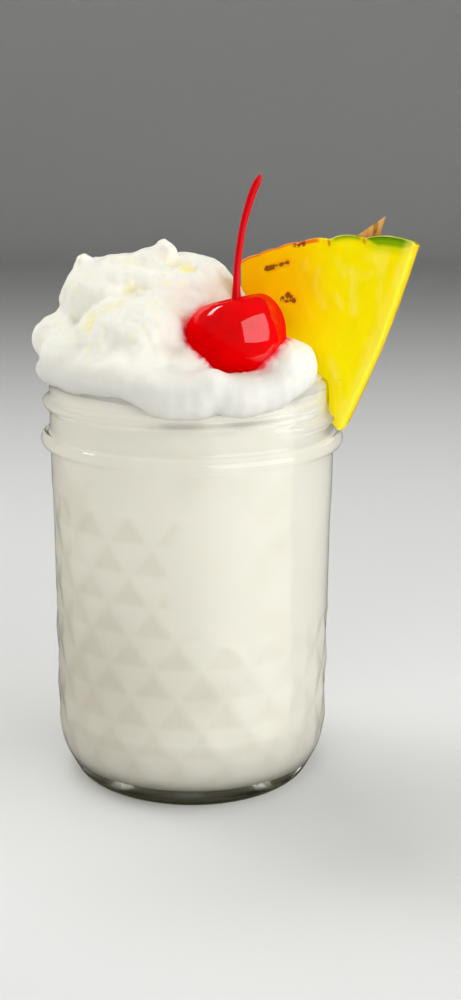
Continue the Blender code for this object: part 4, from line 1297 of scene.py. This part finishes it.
def wedge_frame():
    """Turns (s, depth, z) of the wedge into the model's X, Y and Z."""
    turn = Matrix.Rotation(math.radians(WEDGE_AZIMUTH - 90.0), 4, "Z")
    return turn @ Matrix.Translation((0.0, WEDGE_SET_BACK, 0.0))


def rind_reach(turn):
    """Distance of the rind from its centre at the front, larger over each eye, hardly at the left."""
    linear, square = EYE_NARROWING
    eye = abs(math.sin(math.pi * (linear * turn + square * turn * turn))) ** 0.6
    eye = 1.0 - (1.0 - eye) * (1.0 - (1.0 - LEFT_EYES) * smoothstep(*LEFT_EYES_FROM, turn))
    corner = smoothstep(0.0, 1.2, RIND_RIGHT - turn)
    return RIND_RADIUS + EYE_HEIGHT * (eye * corner - 1.0)


def from_rind_centre(s, z):
    """The way from the centre of the rind's circle to a point."""
    return Vector((s - RIND_CENTRE[0], z - RIND_CENTRE[1]))


def rind_fall(depth, half):
    """How much lower the rind is than at the front face."""
    return RIND_FALL * (depth / half + 1.0) / 2


def rind_point(turn):
    """A point of the rind, (s, z)."""
    radius = rind_reach(turn)
    angle = math.radians(turn)
    return RIND_CENTRE[0] + radius * math.sin(angle), RIND_CENTRE[1] + radius * math.cos(angle)


def side_points(start, end, bulge, steps):
    """Points between the ends of a cut side that bows out a little."""
    across = Vector((end[1] - start[1], start[0] - end[0])).normalized()
    points = []
    for step in range(1, steps):
        t = step / steps
        out = bulge * math.sin(math.pi * t)
        points.append(tuple(start[i] + (end[i] - start[i]) * t + across[i] * out for i in (0, 1)))
    return points


def wedge_outline():
    """Round the tip, up the right side, along the rind, down the left side by way of its trimmed corner."""
    tip = arc(WEDGE_TIP, WEDGE_TIP_RADIUS, WEDGE_TIP_RADIUS, WEDGE_LEFT_FACING, WEDGE_RIGHT_FACING, 8)
    turns = [RIND_RIGHT + (RIND_LEFT - RIND_RIGHT) * step / RIND_STEPS for step in range(RIND_STEPS + 1)]
    rind = [rind_point(turn) for turn in turns]
    right = side_points(tip[-1], rind[0], WEDGE_SIDE_BULGE, 24)
    corner = arc(WEDGE_CORNER, WEDGE_CORNER_RADIUS, WEDGE_CORNER_RADIUS, 180.0, WEDGE_LEFT_FACING, 6)
    left = side_points(corner[-1], tip[0], 0.0, 24)
    return tip + right + rind + corner + left


def near_strokes(strokes, s, z, spread=1.0):
    """1 on the strokes, 0 away from them."""
    level = 0.0
    for start, end, reach in strokes:
        away = segment_distance((s / MM, z / MM), start, end)
        level = max(level, 1.0 - smoothstep(0.0, 1.7 * reach * spread, away))
    return level


def right_side():
    """The ends of the wedge's right cut side, from its tip to its rind."""
    foot = arc(WEDGE_TIP, WEDGE_TIP_RADIUS, WEDGE_TIP_RADIUS, WEDGE_RIGHT_FACING, WEDGE_RIGHT_FACING, 1)[0]
    return Vector(foot), Vector(rind_point(RIND_RIGHT))


def under_side(s, z):
    """How far a point lies inside the wedge's right cut side."""
    start, end = right_side()
    along = end - start
    across = Vector((along.y, -along.x)).normalized()
    from_start = Vector((s, z)) - start
    t = min(max(from_start.dot(along) / along.length_squared, 0.0), 1.0)
    return WEDGE_SIDE_BULGE * math.sin(math.pi * t) - from_start.dot(across)


class BuildPineapple(bpy.types.Operator):
    """Cut the wedge from its outline, round it, work in its fibres and eyes, and slot it over the rim."""

    bl_idname = "iced_drink.build_pineapple"
    bl_label = "Build the pineapple wedge"

    def execute(self, context):
        settings = context.scene.iced_drink_pineapple
        half = settings.thickness / 2
        outline = wedge_outline()
        wedge = mesh_object("fruit_wedge", [(s, -half, z) for s, z in outline], faces=[range(len(outline))])
        edit(wedge)
        bpy.ops.mesh.extrude_region_move(TRANSFORM_OT_translate={"value": (0.0, settings.thickness, 0.0)})
        close_edit()
        add_modifier(wedge, "REMESH", mode="VOXEL", voxel_size=WEDGE_DETAIL)
        add_modifier(wedge, "SMOOTH", factor=0.5, iterations=3)
        self.work_surface(wedge.data, half)
        wedge.data.transform(wedge_frame())
        inner = INNER_NECK_RADIUS + 2.0 * INTO_WALL
        cut_with(wedge, neck_cutter("slot_cutter", inner, NECK_RADIUS - 0.1 * MM, 0.0, 1.2 * MM))
        self.note_marks(wedge.data, half)
        complete(wedge, "pineapple_wedge", pineapple_flesh(settings))
        self.build_leaf()
        return {"FINISHED"}

    def work_surface(self, mesh, half):
        """Lower the rind towards the back, sink the eyes' pits, and raise the fibres."""
        normals = [vert.normal.copy() for vert in mesh.vertices]
        for vert, normal in zip(mesh.vertices, normals):
            s, depth, z = vert.co
            reach = from_rind_centre(s, z)
            skin = smoothstep(RIND_RADIUS - 2.5 * MM, RIND_RADIUS - 1.2 * MM, reach.length)
            down = rind_fall(depth, half) * skin
            vert.co.x -= reach.x / reach.length * down
            vert.co.z -= reach.y / reach.length * down
            root_s = s - FIBRE_ROOT[0]
            root_z = z - FIBRE_ROOT[1]
            along = (math.atan2(root_s, root_z) * 22.0, math.hypot(root_s, root_z) * 70.0, depth * 200.0)
            uneven = noise.noise(vert.co / UNEVEN_SIZE)
            lift = FIBRE_HEIGHT * noise.noise(Vector(along)) + UNEVEN_HEIGHT * uneven
            pit = near_strokes(EYE_PITS, s, z) if normal.y < -0.5 else 0.0
            vert.co += normal * (lift - PIT_DEPTH * pit)
            self.round_edge(vert, half)

    def round_edge(self, vert, half):
        """Round the front edge of the right cut side."""
        inside = max(SIDE_ROUND - under_side(vert.co.x, vert.co.z), 0.0)
        before = max(SIDE_ROUND - half - vert.co.y, 0.0)
        if min(inside, before) <= 0.0:
            return
        part = 1.0 - max(inside, before) / math.hypot(inside, before)
        start, end = right_side()
        across = Vector((end.y - start.y, start.x - end.x)).normalized()
        vert.co.x -= across.x * inside * part
        vert.co.z -= across.y * inside * part
        vert.co.y += before * part

    def note_marks(self, mesh, half):
        """Mark on each point how near it is to an eye, a pale stroke, the rind and the right cut side."""
        back = wedge_frame().inverted()
        marks = float_marks(mesh, ("eye", "stroke", "under_rind", "under_side"))
        face = half - 1.0 * MM
        for vert, eye, stroke, under_rind, inside in zip(mesh.vertices, *marks):
            s, depth, z = back @ vert.co
            reach = from_rind_centre(s, z)
            rind = rind_reach(math.degrees(math.atan2(reach.x, reach.y))) - rind_fall(depth, half)
            under_rind.value = rind - reach.length
            inside.value = under_side(s, z)
            eye.value = near_strokes(EYE_PITS, s, z) if depth < -face else 0.0
            stroke.value = near_strokes(PALE_STROKES, s, z, 1.5) if abs(depth) > face else 0.0

    def build_leaf(self):
        """The dry leaf tip on the rind: a cupped blade with a straight left edge and a steep right one."""
        sides = 16
        points = []
        for step in range(LEAF_STEPS + 1):
            t = step / LEAF_STEPS
            left = LEAF_LEFT + (LEAF_POINT - LEAF_LEFT) * t
            right = LEAF_RIGHT + (LEAF_POINT - LEAF_RIGHT) * t**2.2
            z = LEAF_FOOT + LEAF_HEIGHT * t
            half_width = (right - left) / 2 + 0.1 * MM
            thick = LEAF_FOOT_THICK * (1.0 - t) + LEAF_POINT_THICK
            for side in range(sides):
                angle = 2.0 * math.pi * side / sides
                cup = 0.4 * half_width * math.cos(angle) ** 2
                s = (left + right) / 2 + half_width * math.cos(angle)
                points.append((s, thick * math.sin(angle) - LEAF_FORWARD - cup, z))
        last = LEAF_STEPS * sides
        faces = [tuple(range(sides))[::-1], tuple(range(last, last + sides))]
        for step in range(LEAF_STEPS):
            for side in range(sides):
                low, high = step * sides, (step + 1) * sides
                after = (side + 1) % sides
                faces.append((low + side, low + after, high + after, high + side))
        leaf = mesh_object("leaf_tip", points, faces=faces)
        leaf.data.transform(wedge_frame())
        edit(leaf)
        close_edit()
        complete(leaf, None, dry_leaf())


# Stage


def add_softbox(name, place, size, energy, tint, left_out):
    """A rectangular soft light that faces the jar."""
    deselect_all()
    bpy.ops.object.light_add(type="AREA", location=place)
    lamp = bpy.context.object
    lamp.name = name
    lamp.data.shape = "RECTANGLE"
    lamp.data.size, lamp.data.size_y = size
    lamp.data.energy = energy
    lamp.data.color = tint
    lamp.rotation_euler = (Vector(LIT_MIDDLE) - Vector(place)).to_track_quat("-Z", "Y").to_euler()
    lamp.visible_camera = False
    if left_out:
        setattr(lamp, left_out, False)


class SetStage(bpy.types.Operator):
    """Lay the pale floor, hang the soft lights and place the camera."""

    bl_idname = "iced_drink.set_stage"
    bl_label = "Set the stage"

    def execute(self, context):
        settings = context.scene.iced_drink_stage
        outline = [(0.0, 0.0), (FLOOR_RADIUS, 0.0)]
        outline += arc((FLOOR_RADIUS, FLOOR_SWEEP), FLOOR_SWEEP, FLOOR_SWEEP, -90.0, 0.0, 16)[1:]
        outline.append((FLOOR_RADIUS + FLOOR_SWEEP, WALL_TOP))
        floor = spin_outline("floor", outline, 64)
        floor.data.flip_normals()
        activate(floor)
        bpy.ops.object.shade_smooth()
        floor.data.materials.append(pale_floor(settings))
        floor.visible_glossy = False
        for softbox in SOFTBOXES:
            add_softbox(*softbox)
        world = bpy.data.worlds.new("soft_room")
        world.use_nodes = True
        background = world.node_tree.nodes["Background"].inputs
        background["Color"].default_value = (1.0, 1.0, 1.0, 1.0)
        background["Strength"].default_value = WORLD_STRENGTH
        context.scene.world = world
        context.scene.view_settings.view_transform = "Standard"
        deselect_all()
        place = (0.0, -settings.camera_distance, settings.camera_height)
        bpy.ops.object.camera_add(location=place, rotation=(CAMERA_TILT, 0.0, 0.0))
        camera = context.object
        camera.data.lens = settings.lens
        camera.data.sensor_width = CAMERA_SENSOR
        camera.data.shift_x = CAMERA_SHIFT
        camera.data.clip_start = CAMERA_NEAR
        context.scene.camera = camera
        return {"FINISHED"}


class DrinkPanel(bpy.types.Panel):
    """The sidebar's list of pieces, with the sizes and colours of each."""

    bl_idname = "VIEW3D_PT_iced_drink"
    bl_label = "Creamy drink in a jar"
    bl_space_type = "VIEW_3D"
    bl_region_type = "UI"
    bl_category = "Drink"

    def draw(self, context):
        for operator, (name, group) in zip(OPERATORS, SETTINGS.items()):
            box = self.layout.box()
            box.operator(operator.bl_idname)
            for setting in group.__annotations__:
                box.prop(getattr(context.scene, name), setting)


SETTINGS = {
    "iced_drink_jar": JarSettings,
    "iced_drink_drink": DrinkSettings,
    "iced_drink_cream": CreamSettings,
    "iced_drink_cherry": CherrySettings,
    "iced_drink_pineapple": PineappleSettings,
    "iced_drink_stage": StageSettings,
}
OPERATORS = (BuildJar, BuildDrink, BuildCream, BuildCherry, BuildPineapple, SetStage)


def register():
    """Make the settings, the operators and the panel known to Blender."""
    for made in (*SETTINGS.values(), *OPERATORS, DrinkPanel):
        bpy.utils.register_class(made)
    for name, group in SETTINGS.items():
        setattr(bpy.types.Scene, name, PointerProperty(type=group))


def unregister():
    """Take them away again."""
    for name in SETTINGS:
        delattr(bpy.types.Scene, name)
    for made in reversed((*SETTINGS.values(), *OPERATORS, DrinkPanel)):
        bpy.utils.unregister_class(made)


def main():
    """Build every piece and the stage."""
    register()
    bpy.ops.iced_drink.build_jar()
    bpy.ops.iced_drink.build_drink()
    bpy.ops.iced_drink.build_cream()
    bpy.ops.iced_drink.build_cherry()
    bpy.ops.iced_drink.build_pineapple()
    bpy.ops.iced_drink.set_stage()


if __name__ == "__main__":
    main()
